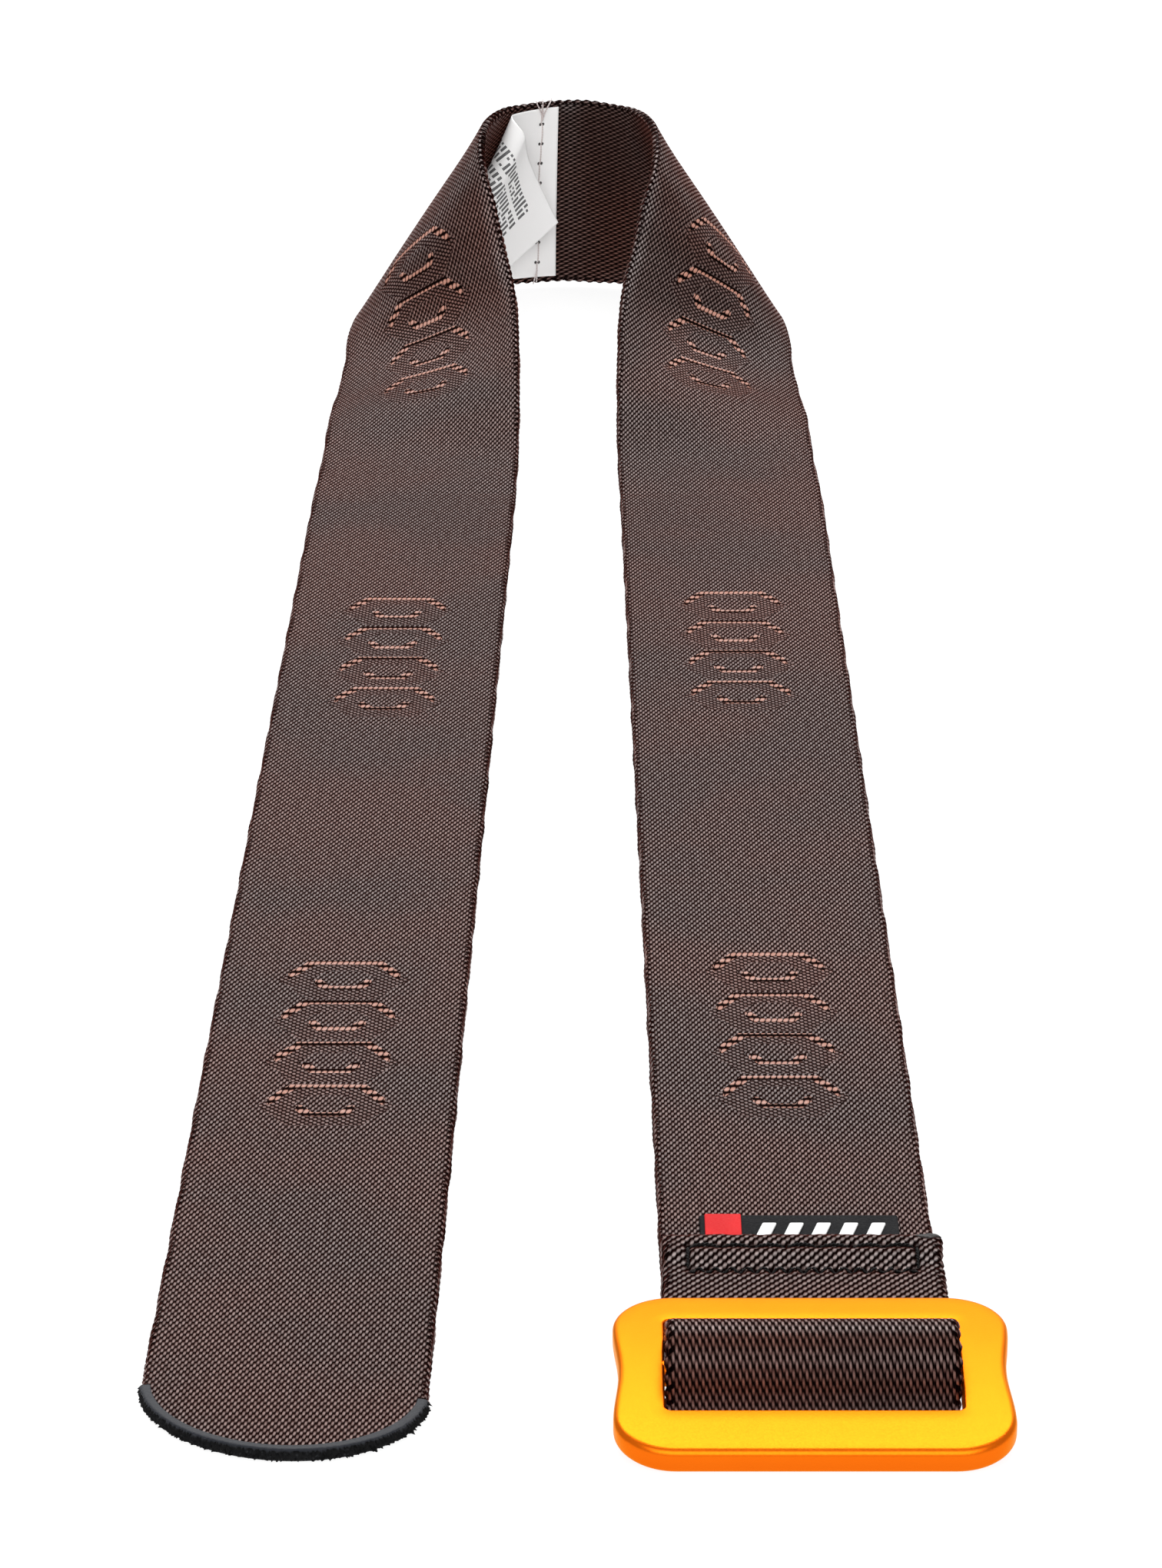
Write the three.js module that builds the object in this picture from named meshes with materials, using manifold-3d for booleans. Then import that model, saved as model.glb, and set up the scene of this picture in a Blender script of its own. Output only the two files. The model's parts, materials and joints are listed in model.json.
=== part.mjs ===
// A woven webbing belt with an anodised frame buckle, laid down in a long loop.
// Millimetres, +Z up. X is across the belt, Y runs from the two front ends (-Y) to the back bend (+Y).
// The strap is one length of webbing. From the rounded tongue it runs back along the left leg, twists up
// on to its edge round the back bend, comes forward along the right leg, passes under the buckle, wraps
// its crossbar and ends as a flap sewn down on the leg.
import * as THREE from "three";
import { mergeVertices } from "three/addons/utils/BufferGeometryUtils.js";
import Module from "manifold-3d";

const wasm = await Module();
wasm.setup();

// ---------------------------------------------------------------- driving dimensions
const strapWidth = 38;
const strapThickness = 1.8;
const legLength = 389.1;           // bend end to the crossbar, along the right leg
const tongueOverrun = 16.5;       // how much further forward the tongue reaches than the crossbar
const leftToe = 1.12;             // degrees that the left leg opens outwards
const rightToe = 0.57;            // degrees that the right leg opens outwards

const tongueSag = 17;             // height of the rounded end's arc
const tongueSkew = 0.12;          // how much the arc leans forward on the inner side, mm per mm
const sealBand = 2.6;             // width of the rubber seal along the rounded end
const sealGap = 0.3;

const frameWidth = 51.6;
const frameThickness = 3.4;
const frontLimb = 9.3;
const rearLimb = 6.6;
const slotDepth = 21.8;           // both slots and the crossbar between them
const slotSideGap = 0.3;          // between the strap's edge and the slot's end
const cornerRadius = 8;
const slotCornerRadius = 0.9;
const waist = 0.7;                // how far each side of the frame draws in
const edgeBevel = 0.8;
const barRadius = 1.7;
const restGap = 0.3;              // air under the rear limb, and under the frame's front edge

const loopInnerRadius = 4.2;
const loopSlope = 56;             // degrees, strap coming down off the crossbar
const loopEaseRadius = 5;
const layerGap = 0.3;             // between the leg and the flap sewn on it
const flapLength = 44.4;          // crossbar to the cut end

const tabWidth = 27.3;
const tabThickness = 0.8;
const tabExposed = 11;
const tabRoot = 4.5;              // part of the tab held under the flap
const tabGap = 0.15;
const flapRiseLength = 4;         // the flap climbs on to the tab over this length
const tabMargin = 0.7;            // tab's edge to the patch
const markMargin = 1.5;           // flap's cut end to the patch and the bars
const patchWidth = 5;
const markCount = 5;
const markRise = 0.35;
const markGap = 0.04;
const markLean = 1.4;             // how far a bar slants across the tab
const markShare = 0.52;           // a bar's width, as a share of the bars' pitch
const barRoot = 1;                // how far the crossbar runs into each side of the frame

const threadRadius = 0.28;
const threadGap = 0.05;
const frontRowInset = 3.5;        // front stitch row to the flap's cut end
const stitchRowSpacing = 6.4;
const stitchRowWidth = 31;
const zigzagPitch = 2.1;
const zigzagHeight = 1.6;

const labelWidth = 35;            // up the strap's width
const labelLength = 44.8;
const labelThickness = 0.25;
const labelGap = 0.25;
const labelStart = 2.8;           // back centre to the label's cut edge, towards the left leg
const labelStitchInset = 4;       // cut edge to the stitch line
const labelFoldInset = 12;        // cut edge to the fold, along the top
const labelFoldAngle = 62;        // degrees of the fold line from level
const labelFoldRadius = 2.4;
const labelThreadRadius = 0.22;

const degree = Math.PI / 180;

// The back bend's right half, in strap widths from the back's middle: lower outer edge, middle line and
// upper inner edge. The strap stands on edge at the back and lies flat where the leg begins.
const bendRails = [
  [[0.0, -0.1, 0.02], [0.0, 0.0, 0.51], [0.0, 0.09, 1.0]],
  [[0.36, -0.18, 0.02], [0.34, -0.11, 0.52], [0.3, -0.09, 1.01]],
  [[0.63, -0.34, 0.04], [0.57, -0.33, 0.54], [0.42, -0.38, 1.01]],
  [[0.85, -0.56, 0.07], [0.72, -0.6, 0.55], [0.45, -0.69, 0.96]],
  [[1.01, -0.83, 0.09], [0.79, -0.91, 0.53], [0.43, -0.98, 0.86]],
  [[1.11, -1.13, 0.09], [0.8, -1.21, 0.46], [0.37, -1.26, 0.72]],
  [[1.16, -1.44, 0.06], [0.76, -1.5, 0.34], [0.32, -1.54, 0.57]],
  [[1.17, -1.81, 0.03], [0.71, -1.84, 0.21], [0.27, -1.88, 0.44]],
  [[1.19, -2.23, 0.01], [0.71, -2.25, 0.13], [0.25, -2.28, 0.32]],
  [[1.22, -2.75, 0.01], [0.73, -2.77, 0.09], [0.24, -2.8, 0.19]],
  [[1.23, -3.38, 0.002], [0.73, -3.39, 0.02], [0.24, -3.41, 0.05]],
  [[1.25, -4.01, 0.0], [0.75, -4.02, 0.0], [0.25, -4.03, 0.0]],
];
const bendSteps = 4;              // grid steps between two rail stations
const acrossSteps = 8;            // grid steps across the strap

// ---------------------------------------------------------------- colours
const finish = (color, roughness, metalness = 0) =>
  new THREE.MeshStandardMaterial({ color, roughness, metalness });
const webbing = finish("#59403a", 0.75);
const sealRubber = finish("#3c3e42", 0.6);
const goldAnodised = finish("#f2a012", 0.35, 1);
const blackThread = finish("#17110f", 0.7);
const tabRubber = finish("#141417", 0.55);
const redRubber = finish("#d8262b", 0.5);
const whiteRubber = finish("#eeeeee", 0.5);
const satin = finish("#ececea", 0.45);
const greyThread = finish("#bdb6b2", 0.6);

// ---------------------------------------------------------------- solids from grids
// A sheet's middle surface is a grid of points, rows[i][j]. Each point is moved half the thickness both
// ways along the grid's normal, and the four borders are closed, which gives one closed body.
function sheetGeometry(rows, thickness) {
  const rowCount = rows.length;
  const columnCount = rows[0].length;
  const lift = thickness / 2;
  const top = [];
  const bottom = [];
  for (let i = 0; i < rowCount; i++) {
    for (let j = 0; j < columnCount; j++) {
      const along = new THREE.Vector3().subVectors(
        rows[Math.min(i + 1, rowCount - 1)][j],
        rows[Math.max(i - 1, 0)][j],
      );
      const across = new THREE.Vector3().subVectors(
        rows[i][Math.min(j + 1, columnCount - 1)],
        rows[i][Math.max(j - 1, 0)],
      );
      const normal = across.cross(along).normalize();
      top.push(rows[i][j].clone().addScaledVector(normal, lift));
      bottom.push(rows[i][j].clone().addScaledVector(normal, -lift));
    }
  }
  const points = [...top, ...bottom];
  const under = top.length;
  const at = (i, j) => i * columnCount + j;
  const faces = [];
  const quad = (a, b, c, d) => faces.push(a, b, c, a, c, d);
  for (let i = 0; i < rowCount - 1; i++) {
    for (let j = 0; j < columnCount - 1; j++) {
      quad(at(i, j), at(i, j + 1), at(i + 1, j + 1), at(i + 1, j));
      quad(under + at(i, j), under + at(i + 1, j), under + at(i + 1, j + 1), under + at(i, j + 1));
    }
    const last = columnCount - 1;
    quad(at(i, 0), at(i + 1, 0), under + at(i + 1, 0), under + at(i, 0));
    quad(at(i + 1, last), at(i, last), under + at(i, last), under + at(i + 1, last));
  }
  for (let j = 0; j < columnCount - 1; j++) {
    const last = rowCount - 1;
    quad(at(0, j + 1), at(0, j), under + at(0, j), under + at(0, j + 1));
    quad(at(last, j), at(last, j + 1), under + at(last, j + 1), under + at(last, j));
  }
  const geometry = new THREE.BufferGeometry().setFromPoints(points);
  geometry.setIndex(faces);
  geometry.computeVertexNormals();
  return geometry;
}

// A thread is a six-sided section swept along a smooth line through the given points.
function threadGeometry(points, radius, steps) {
  const section = new THREE.Shape();
  const sides = 6;
  for (let k = 0; k < sides; k++) {
    const turn = (2 * Math.PI * k) / sides;
    const corner = [radius * Math.cos(turn), radius * Math.sin(turn)];
    if (k === 0) section.moveTo(...corner);
    else section.lineTo(...corner);
  }
  section.closePath();
  const path = new THREE.CatmullRomCurve3(points, false, "centripetal");
  return new THREE.ExtrudeGeometry(section, { steps, bevelEnabled: false, extrudePath: path });
}

// ---------------------------------------------------------------- the strap's course
const halfWidth = strapWidth / 2;
const flatHeight = strapThickness / 2;
const bendEnd = bendRails.at(-1)[1];
const legStart = { x: bendEnd[0] * strapWidth, y: bendEnd[1] * strapWidth };
const legX = (side, y) => {
  const toe = side < 0 ? leftToe : rightToe;
  return side * (legStart.x + (legStart.y - y) * Math.tan(toe * degree));
};
const barY = legStart.y - legLength;
const tongueY = barY - tongueOverrun;
const buckleX = legX(1, barY);

// One station is the lower outer edge, the middle and the upper inner edge of the strap. Where the
// strap lies down, its middle surface is lifted by half its thickness.
const bendStation = ([outer, middle, inner], side) =>
  [outer, middle, inner].map(([x, y, z]) => {
    const rise = Math.min(1, inner[2] - outer[2]);
    const lift = flatHeight * Math.sqrt(1 - rise ** 2);
    return new THREE.Vector3(side * x, y, z).multiplyScalar(strapWidth).add(new THREE.Vector3(0, 0, lift));
  });
const bendStations = [
  ...bendRails.slice(1).reverse().map((rails) => bendStation(rails, -1)),
  ...bendRails.map((rails) => bendStation(rails, 1)),
];
const bendCurves = [0, 1, 2].map(
  (rail) => new THREE.CatmullRomCurve3(bendStations.map((station) => station[rail]), false, "catmullrom"),
);
bendCurves.forEach((curve) => {
  curve.arcLengthDivisions = 600;
});

// v runs 0 to 1 from the outer edge to the inner edge, on the parabola through the three rails.
function acrossRails([outer, middle, inner], v) {
  return new THREE.Vector3()
    .addScaledVector(outer, (1 - v) * (1 - 2 * v))
    .addScaledVector(middle, 4 * v * (1 - v))
    .addScaledVector(inner, v * (2 * v - 1));
}
const bendPoint = (t, v) => acrossRails(bendCurves.map((curve) => curve.getPoint(t)), v);

// The loop round the crossbar and the flap, as y and z of the strap's middle surface.
const loopRadius = loopInnerRadius + strapThickness / 2;
const loopZ = strapThickness + loopInnerRadius;
const flapZ = flatHeight + strapThickness + layerGap;
const flapEndZ = flatHeight + strapThickness + tabThickness + 2 * tabGap;
const slopeAngle = loopSlope * degree;
const loopTopDrop = loopZ + loopRadius * Math.cos(slopeAngle) - flapZ;
const slopeRun = (loopTopDrop - loopEaseRadius * (1 - Math.cos(slopeAngle))) / Math.sin(slopeAngle);
const slopeStart = {
  y: barY + loopRadius * Math.sin(slopeAngle),
  z: loopZ + loopRadius * Math.cos(slopeAngle),
};
const easeStart = {
  y: slopeStart.y + slopeRun * Math.cos(slopeAngle),
  z: slopeStart.z - slopeRun * Math.sin(slopeAngle),
};
const flapFlatY = easeStart.y + loopEaseRadius * Math.sin(slopeAngle);
const flapEndY = barY + flapLength;
const flapRiseEnd = flapEndY - tabRoot - tabGap;
const flapRiseStart = flapRiseEnd - flapRiseLength;
const flapHeight = (y) => {
  const share = THREE.MathUtils.smoothstep(y, flapRiseStart, flapRiseEnd);
  return flapZ + share * (flapEndZ - flapZ);
};

function loopProfile() {
  const profile = [];
  const turnSteps = 16;
  for (let k = 1; k <= turnSteps; k++) {
    const turn = (k / turnSteps) * (Math.PI + slopeAngle);
    profile.push([barY - loopRadius * Math.sin(turn), loopZ - loopRadius * Math.cos(turn)]);
  }
  const easeSteps = 4;
  for (let k = 0; k <= easeSteps; k++) {
    const turn = slopeAngle * (1 - k / easeSteps);
    profile.push([
      flapFlatY - loopEaseRadius * Math.sin(turn),
      flapZ + loopEaseRadius * (1 - Math.cos(turn)),
    ]);
  }
  const flapSteps = 24;
  for (let k = 1; k <= flapSteps; k++) {
    const y = THREE.MathUtils.lerp(flapFlatY, flapEndY, k / flapSteps);
    profile.push([y, flapHeight(y)]);
  }
  return profile;
}

// The rounded tongue: how far its edge reaches forward of its corners at a distance from the middle.
const arcRadius = (halfWidth ** 2 + tongueSag ** 2) / (2 * tongueSag);
const tongueReach = (offset) =>
  Math.sqrt(arcRadius ** 2 - offset ** 2) - (arcRadius - tongueSag) + tongueSkew * offset;
const tongueCorner = tongueY + tongueSag;

function tonguePoint(v, inset) {
  const offset = (v - 0.5) * strapWidth;
  const y = tongueCorner - tongueReach(offset) + inset;
  return new THREE.Vector3(legX(-1, y) + offset, y, flatHeight);
}

function strapRows() {
  const shares = Array.from({ length: acrossSteps + 1 }, (_, j) => {
    const turn = (j / acrossSteps) * Math.PI;
    return (1 - Math.cos(turn)) / 2;
  });
  const rows = [];
  const tongueSteps = 4;
  const straightY = tongueCorner + sealBand + halfWidth;
  for (let k = 0; k <= tongueSteps; k++) {
    const share = k / tongueSteps;
    rows.push(
      shares.map((v) => {
        const edge = tonguePoint(v, sealBand + sealGap);
        const y = THREE.MathUtils.lerp(edge.y, straightY, share);
        return new THREE.Vector3(legX(-1, y) + (v - 0.5) * strapWidth, y, flatHeight);
      }),
    );
  }
  const legSteps = 4;
  for (let k = 1; k < legSteps; k++) {
    const y = THREE.MathUtils.lerp(straightY, legStart.y, k / legSteps);
    rows.push(shares.map((v) => new THREE.Vector3(legX(-1, y) + (v - 0.5) * strapWidth, y, flatHeight)));
  }
  const bendCount = (bendStations.length - 1) * bendSteps;
  for (let k = 0; k <= bendCount; k++) {
    rows.push(shares.map((v) => bendPoint(k / bendCount, v)));
  }
  for (let k = 1; k <= legSteps; k++) {
    const y = THREE.MathUtils.lerp(legStart.y, barY, k / legSteps);
    rows.push(shares.map((v) => new THREE.Vector3(legX(1, y) + (0.5 - v) * strapWidth, y, flatHeight)));
  }
  for (const [y, z] of loopProfile()) {
    rows.push(shares.map((v) => new THREE.Vector3(buckleX + (0.5 - v) * strapWidth, y, z)));
  }
  return rows;
}

// The rubber seal that closes the tongue's cut end.
function sealRows() {
  const steps = 16;
  const rows = [];
  for (let k = 0; k <= steps; k++) {
    const v = (1 - Math.cos((k / steps) * Math.PI)) / 2;
    rows.push([tonguePoint(v, sealBand), tonguePoint(v, 0)]);
  }
  return rows;
}

// ---------------------------------------------------------------- the buckle
// The frame lies flat here, with its crossbar along X through the origin, and is tilted when placed.
function frameOutline() {
  const halfFrame = frameWidth / 2;
  const front = -(slotDepth / 2 + frontLimb);
  const rear = slotDepth / 2 + rearLimb;
  const outline = new THREE.Shape();
  const sideSteps = 12;
  const sideX = (share) => halfFrame - (waist / 2) * (1 - Math.cos(2 * Math.PI * share));
  outline.moveTo(-halfFrame + cornerRadius, front);
  outline.lineTo(halfFrame - cornerRadius, front);
  outline.absarc(halfFrame - cornerRadius, front + cornerRadius, cornerRadius, -Math.PI / 2, 0);
  for (let k = 1; k < sideSteps; k++) {
    const share = k / sideSteps;
    outline.lineTo(sideX(share), THREE.MathUtils.lerp(front + cornerRadius, rear - cornerRadius, share));
  }
  outline.absarc(halfFrame - cornerRadius, rear - cornerRadius, cornerRadius, 0, Math.PI / 2);
  outline.absarc(-halfFrame + cornerRadius, rear - cornerRadius, cornerRadius, Math.PI / 2, Math.PI);
  for (let k = 1; k < sideSteps; k++) {
    const share = k / sideSteps;
    outline.lineTo(-sideX(share), THREE.MathUtils.lerp(rear - cornerRadius, front + cornerRadius, share));
  }
  outline.absarc(-halfFrame + cornerRadius, front + cornerRadius, cornerRadius, Math.PI, 1.5 * Math.PI);

  const slotX = halfWidth + slotSideGap;
  const slotY = slotDepth / 2;
  const r = slotCornerRadius;
  const slot = new THREE.Path();
  slot.moveTo(-slotX + r, -slotY);
  slot.absarc(-slotX + r, -slotY + r, r, 1.5 * Math.PI, Math.PI, true);
  slot.absarc(-slotX + r, slotY - r, r, Math.PI, Math.PI / 2, true);
  slot.absarc(slotX - r, slotY - r, r, Math.PI / 2, 0, true);
  slot.absarc(slotX - r, -slotY + r, r, 0, -Math.PI / 2, true);
  outline.holes.push(slot);
  return outline;
}

function solidOf(geometry) {
  const plain = geometry.clone();
  plain.deleteAttribute("normal");
  plain.deleteAttribute("uv");
  const merged = mergeVertices(plain, 1e-4);
  return new wasm.Manifold(
    new wasm.Mesh({
      numProp: 3,
      vertProperties: merged.attributes.position.array,
      triVerts: new Uint32Array(merged.index.array),
    }),
  );
}

function geometryOf(solid) {
  const mesh = solid.getMesh();
  const geometry = new THREE.BufferGeometry();
  geometry.setAttribute("position", new THREE.BufferAttribute(mesh.vertProperties, 3));
  geometry.setIndex(new THREE.BufferAttribute(mesh.triVerts, 1));
  geometry.computeVertexNormals();
  return geometry;
}

function frameGeometry() {
  const plate = new THREE.ExtrudeGeometry(frameOutline(), {
    depth: frameThickness - 2 * edgeBevel,
    curveSegments: 7,
    bevelEnabled: true,
    bevelThickness: edgeBevel,
    bevelSize: edgeBevel,
    bevelOffset: -edgeBevel,
    bevelSegments: 3,
  });
  plate.translate(0, 0, edgeBevel - frameThickness / 2);
  const barLength = strapWidth + 2 * (slotSideGap + edgeBevel + barRoot);
  const bar = new THREE.CylinderGeometry(barRadius, barRadius, barLength, 24);
  bar.rotateZ(Math.PI / 2);
  return geometryOf(solidOf(plate).add(solidOf(bar)));
}

// The frame lies with its front edge just above the surface and its rear limb just above the flap.
const tiltSine = (2 * strapThickness + layerGap) / (frontLimb + slotDepth);
const tilt = Math.asin(tiltSine);
const barZ = restGap + (slotDepth / 2 + frontLimb) * tiltSine + (frameThickness / 2) * Math.cos(tilt);

// ---------------------------------------------------------------- stitching on the flap
const flapTop = (y) => flapHeight(y) + strapThickness / 2 + threadGap + threadRadius;
const frontRowY = flapEndY - frontRowInset;
const rearRowY = frontRowY - stitchRowSpacing;

// The needle thread runs along the front row, with its two ends turned down the box's sides.
function frontRowPoints() {
  const half = stitchRowWidth / 2;
  const sideSteps = 6;
  const sideEndY = rearRowY + zigzagHeight;
  const sideY = Array.from({ length: sideSteps }, (_, k) =>
    THREE.MathUtils.lerp(sideEndY, frontRowY, k / sideSteps),
  );
  const points = sideY.map((y) => [-half, y]);
  const rowSteps = 12;
  for (let k = 0; k <= rowSteps; k++) {
    points.push([THREE.MathUtils.lerp(-half, half, k / rowSteps), frontRowY]);
  }
  points.push(...sideY.map((y) => [half, y]).reverse());
  return points.map(([x, y]) => new THREE.Vector3(buckleX + x, y, flapTop(y)));
}

function zigzagPoints() {
  const half = stitchRowWidth / 2;
  const count = Math.floor(stitchRowWidth / zigzagPitch) * 2;
  return Array.from({ length: count + 1 }, (_, k) => {
    const y = rearRowY + (k % 2 ? 0.5 : -0.5) * zigzagHeight;
    return new THREE.Vector3(buckleX + THREE.MathUtils.lerp(-half, half, k / count), y, flapTop(y));
  });
}

// ---------------------------------------------------------------- the tab in the flap's end
const tabStartY = flapEndY - tabRoot;
const tabLength = tabRoot + tabExposed;
const tabTop = strapThickness + tabGap + tabThickness;

function boxGeometry(width, depth, height, x, y, z) {
  const box = new THREE.BoxGeometry(width, depth, height);
  box.translate(x, y, z + height / 2);
  return box;
}

const patchDepth = tabExposed - 2;
const markDepth = tabExposed - 5;
const markFrontY = flapEndY + markMargin;
const markStart = tabMargin + patchWidth + markMargin;
const markPitch = (tabWidth - markStart - markLean) / markCount;

// A raised slanted bar, the tab's plain decoration.
function markGeometry(index) {
  const x = buckleX - tabWidth / 2 + markStart + index * markPitch;
  const width = markPitch * markShare;
  const bar = new THREE.Shape();
  bar.moveTo(x, markFrontY);
  bar.lineTo(x + width, markFrontY);
  bar.lineTo(x + width + markLean, markFrontY + markDepth);
  bar.lineTo(x + markLean, markFrontY + markDepth);
  bar.closePath();
  const geometry = new THREE.ExtrudeGeometry(bar, { depth: markRise, bevelEnabled: false });
  geometry.translate(0, 0, tabTop + markGap);
  return geometry;
}

// ---------------------------------------------------------------- the care label at the back
// A place on the strap's inner face: how far left of the back's middle, how far up from its lower
// edge, and how far off the face.
const backCurve = bendCurves[1];
const backLength = backCurve.getLength();
function innerFacePoint(left, up, off) {
  const step = 0.002;
  const t = backCurve.getUtoTmapping(0, backLength / 2 - left);
  const v = THREE.MathUtils.clamp(up / strapWidth, 0, 1);
  const along = bendPoint(t + step, v).sub(bendPoint(t - step, v));
  const across = bendPoint(t, v + step).sub(bendPoint(t, v - step));
  const outward = across.cross(along).normalize();
  return bendPoint(t, v).addScaledVector(outward, -(strapThickness / 2 + off));
}

const labelFoot = (strapWidth - labelWidth) / 2;

// The ribbon is flat up to a slanted fold, rolls over it, and comes back over itself.
function labelPoint(length, up) {
  const angle = labelFoldAngle * degree;
  const past =
    (length - labelFoldInset) * Math.sin(angle) + (up - labelWidth) * Math.cos(angle);
  let shift = 0;
  let rise = 0;
  const roll = Math.PI * labelFoldRadius;
  if (past > roll) {
    shift = -(2 * past - roll);
    rise = 2 * labelFoldRadius;
  } else if (past > 0) {
    shift = labelFoldRadius * Math.sin(past / labelFoldRadius) - past;
    rise = labelFoldRadius * (1 - Math.cos(past / labelFoldRadius));
  }
  const left = labelStart + length + shift * Math.sin(angle);
  const height = labelFoot + up + shift * Math.cos(angle);
  return innerFacePoint(left, height, labelGap + labelThickness / 2 + rise);
}

function labelRows() {
  const lengthSteps = 26;
  const upSteps = 14;
  return Array.from({ length: lengthSteps + 1 }, (_, i) =>
    Array.from({ length: upSteps + 1 }, (_, j) =>
      labelPoint((i / lengthSteps) * labelLength, (j / upSteps) * labelWidth),
    ),
  );
}

// The label's seam: one thread up the strap's inner face, over the label, with a loose tail at the top.
function labelThreadPoints() {
  const seamLeft = labelStart + labelStitchInset;
  const off = labelGap + labelThickness + threadGap + labelThreadRadius;
  return [0.03, 0.2, 0.4, 0.6, 0.8, 0.97].map((share) =>
    innerFacePoint(seamLeft, share * strapWidth, off),
  );
}

// ---------------------------------------------------------------- the assembly
const belt = new THREE.Group();
belt.name = "webbing_belt";

function addPiece(name, geometry, material, parent = belt) {
  const mesh = new THREE.Mesh(geometry, material);
  mesh.name = name;
  parent.add(mesh);
  return mesh;
}

addPiece("strap", sheetGeometry(strapRows(), strapThickness), webbing);
addPiece("tongue_edge_seal", sheetGeometry(sealRows(), strapThickness), sealRubber);

const buckle = new THREE.Group();
buckle.position.set(buckleX, barY, barZ);
buckle.rotation.x = tilt;
addPiece("buckle_frame", frameGeometry(), goldAnodised, buckle);
belt.add(buckle);

addPiece("flap_front_stitch_row", threadGeometry(frontRowPoints(), threadRadius, 96), blackThread);
addPiece("flap_zigzag_stitch_row", threadGeometry(zigzagPoints(), threadRadius, 84), blackThread);

addPiece(
  "tab_label",
  boxGeometry(tabWidth, tabLength, tabThickness, buckleX, tabStartY + tabLength / 2, strapThickness + tabGap),
  tabRubber,
);
addPiece(
  "tab_end_patch",
  boxGeometry(
    patchWidth,
    patchDepth,
    markRise,
    buckleX - tabWidth / 2 + tabMargin + patchWidth / 2,
    markFrontY + patchDepth / 2,
    tabTop + markGap,
  ),
  redRubber,
);
for (let index = 0; index < markCount; index++) {
  addPiece("tab_bar_" + (index + 1), markGeometry(index), whiteRubber);
}

addPiece("care_label", sheetGeometry(labelRows(), labelThickness), satin);
addPiece("care_label_thread", threadGeometry(labelThreadPoints(), labelThreadRadius, 16), greyThread);

// The origin is the middle of the belt's base.
const extent = new THREE.Box3().setFromObject(belt);
const middle = extent.getCenter(new THREE.Vector3());
belt.position.set(-middle.x, -middle.y, -extent.min.z);

export default belt;
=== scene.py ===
# %% [markdown]
# # A woven belt with a gold frame buckle
# This lesson dresses a finished mechanical model of a belt. The belt is one strap of nylon webbing,
# laid down in a long loop: it runs from a rounded tongue to a bend at the back, where it stands on its
# edge, and comes forward again to a buckle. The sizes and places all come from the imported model, and
# the lesson only adds the cloth, the thread, the rubber and the metal that make it look real.

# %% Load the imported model
import json
import math

import bmesh
import bpy
import numpy as np
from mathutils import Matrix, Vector


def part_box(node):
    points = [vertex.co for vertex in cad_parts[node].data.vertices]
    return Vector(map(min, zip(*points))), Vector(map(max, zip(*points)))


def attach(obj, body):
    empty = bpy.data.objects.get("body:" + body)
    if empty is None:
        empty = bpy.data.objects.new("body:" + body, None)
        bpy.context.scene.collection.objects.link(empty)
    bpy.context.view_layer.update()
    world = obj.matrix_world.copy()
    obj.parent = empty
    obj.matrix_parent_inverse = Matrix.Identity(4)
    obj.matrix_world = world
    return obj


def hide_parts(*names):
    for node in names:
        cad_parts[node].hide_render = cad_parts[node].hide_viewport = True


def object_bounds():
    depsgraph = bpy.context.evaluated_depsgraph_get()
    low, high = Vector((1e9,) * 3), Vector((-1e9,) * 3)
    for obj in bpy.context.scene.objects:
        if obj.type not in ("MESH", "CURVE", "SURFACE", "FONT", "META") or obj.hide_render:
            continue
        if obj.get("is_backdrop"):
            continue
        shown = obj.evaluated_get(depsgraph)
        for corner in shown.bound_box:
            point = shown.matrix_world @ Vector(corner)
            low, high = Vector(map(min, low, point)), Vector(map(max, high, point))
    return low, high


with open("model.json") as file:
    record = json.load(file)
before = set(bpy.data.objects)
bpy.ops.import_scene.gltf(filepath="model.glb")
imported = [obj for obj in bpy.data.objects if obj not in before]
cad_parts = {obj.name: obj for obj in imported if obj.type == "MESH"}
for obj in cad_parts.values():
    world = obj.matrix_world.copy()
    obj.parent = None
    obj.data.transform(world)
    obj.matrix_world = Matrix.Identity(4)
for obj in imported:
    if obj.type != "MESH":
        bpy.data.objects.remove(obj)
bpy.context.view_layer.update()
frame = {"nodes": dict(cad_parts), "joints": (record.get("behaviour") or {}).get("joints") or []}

hinge = next(joint for joint in frame["joints"] if joint["name"] == "buckle_turn")
print("nodes:", len(frame["nodes"]), "hinge at", hinge["pos_m"])

# %% [markdown]
# ## Camera first
# The belt is long and low, so a long lens from the front, looking twenty degrees down, keeps its two
# legs nearly parallel while still showing their faces. The camera is set before anything is made, so
# that each later step can be judged from the same place.

# %% Set the camera
camera_place = (0.0009, -1.0253, 0.3634)
camera_tilt = 70
lens_length = 148.87

camera_data = bpy.data.cameras.new("front_camera")
camera_data.lens = lens_length
camera_data.sensor_width = 36
camera = bpy.data.objects.new("front_camera", camera_data)
camera.location = camera_place
camera.rotation_euler = (math.radians(camera_tilt), 0, 0)
bpy.context.scene.collection.objects.link(camera)
bpy.context.scene.camera = camera
print("camera at", camera_place)

# %% [markdown]
# ## The strap's measures
# Webbing is sold by its width and thickness, and everything on this belt follows from them. The values
# are in millimetres, because that is how a webbing maker would write them; they become metres
# when a mesh is made. The thickness is read from the seal on the tongue, which is as thick as the strap.

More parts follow.
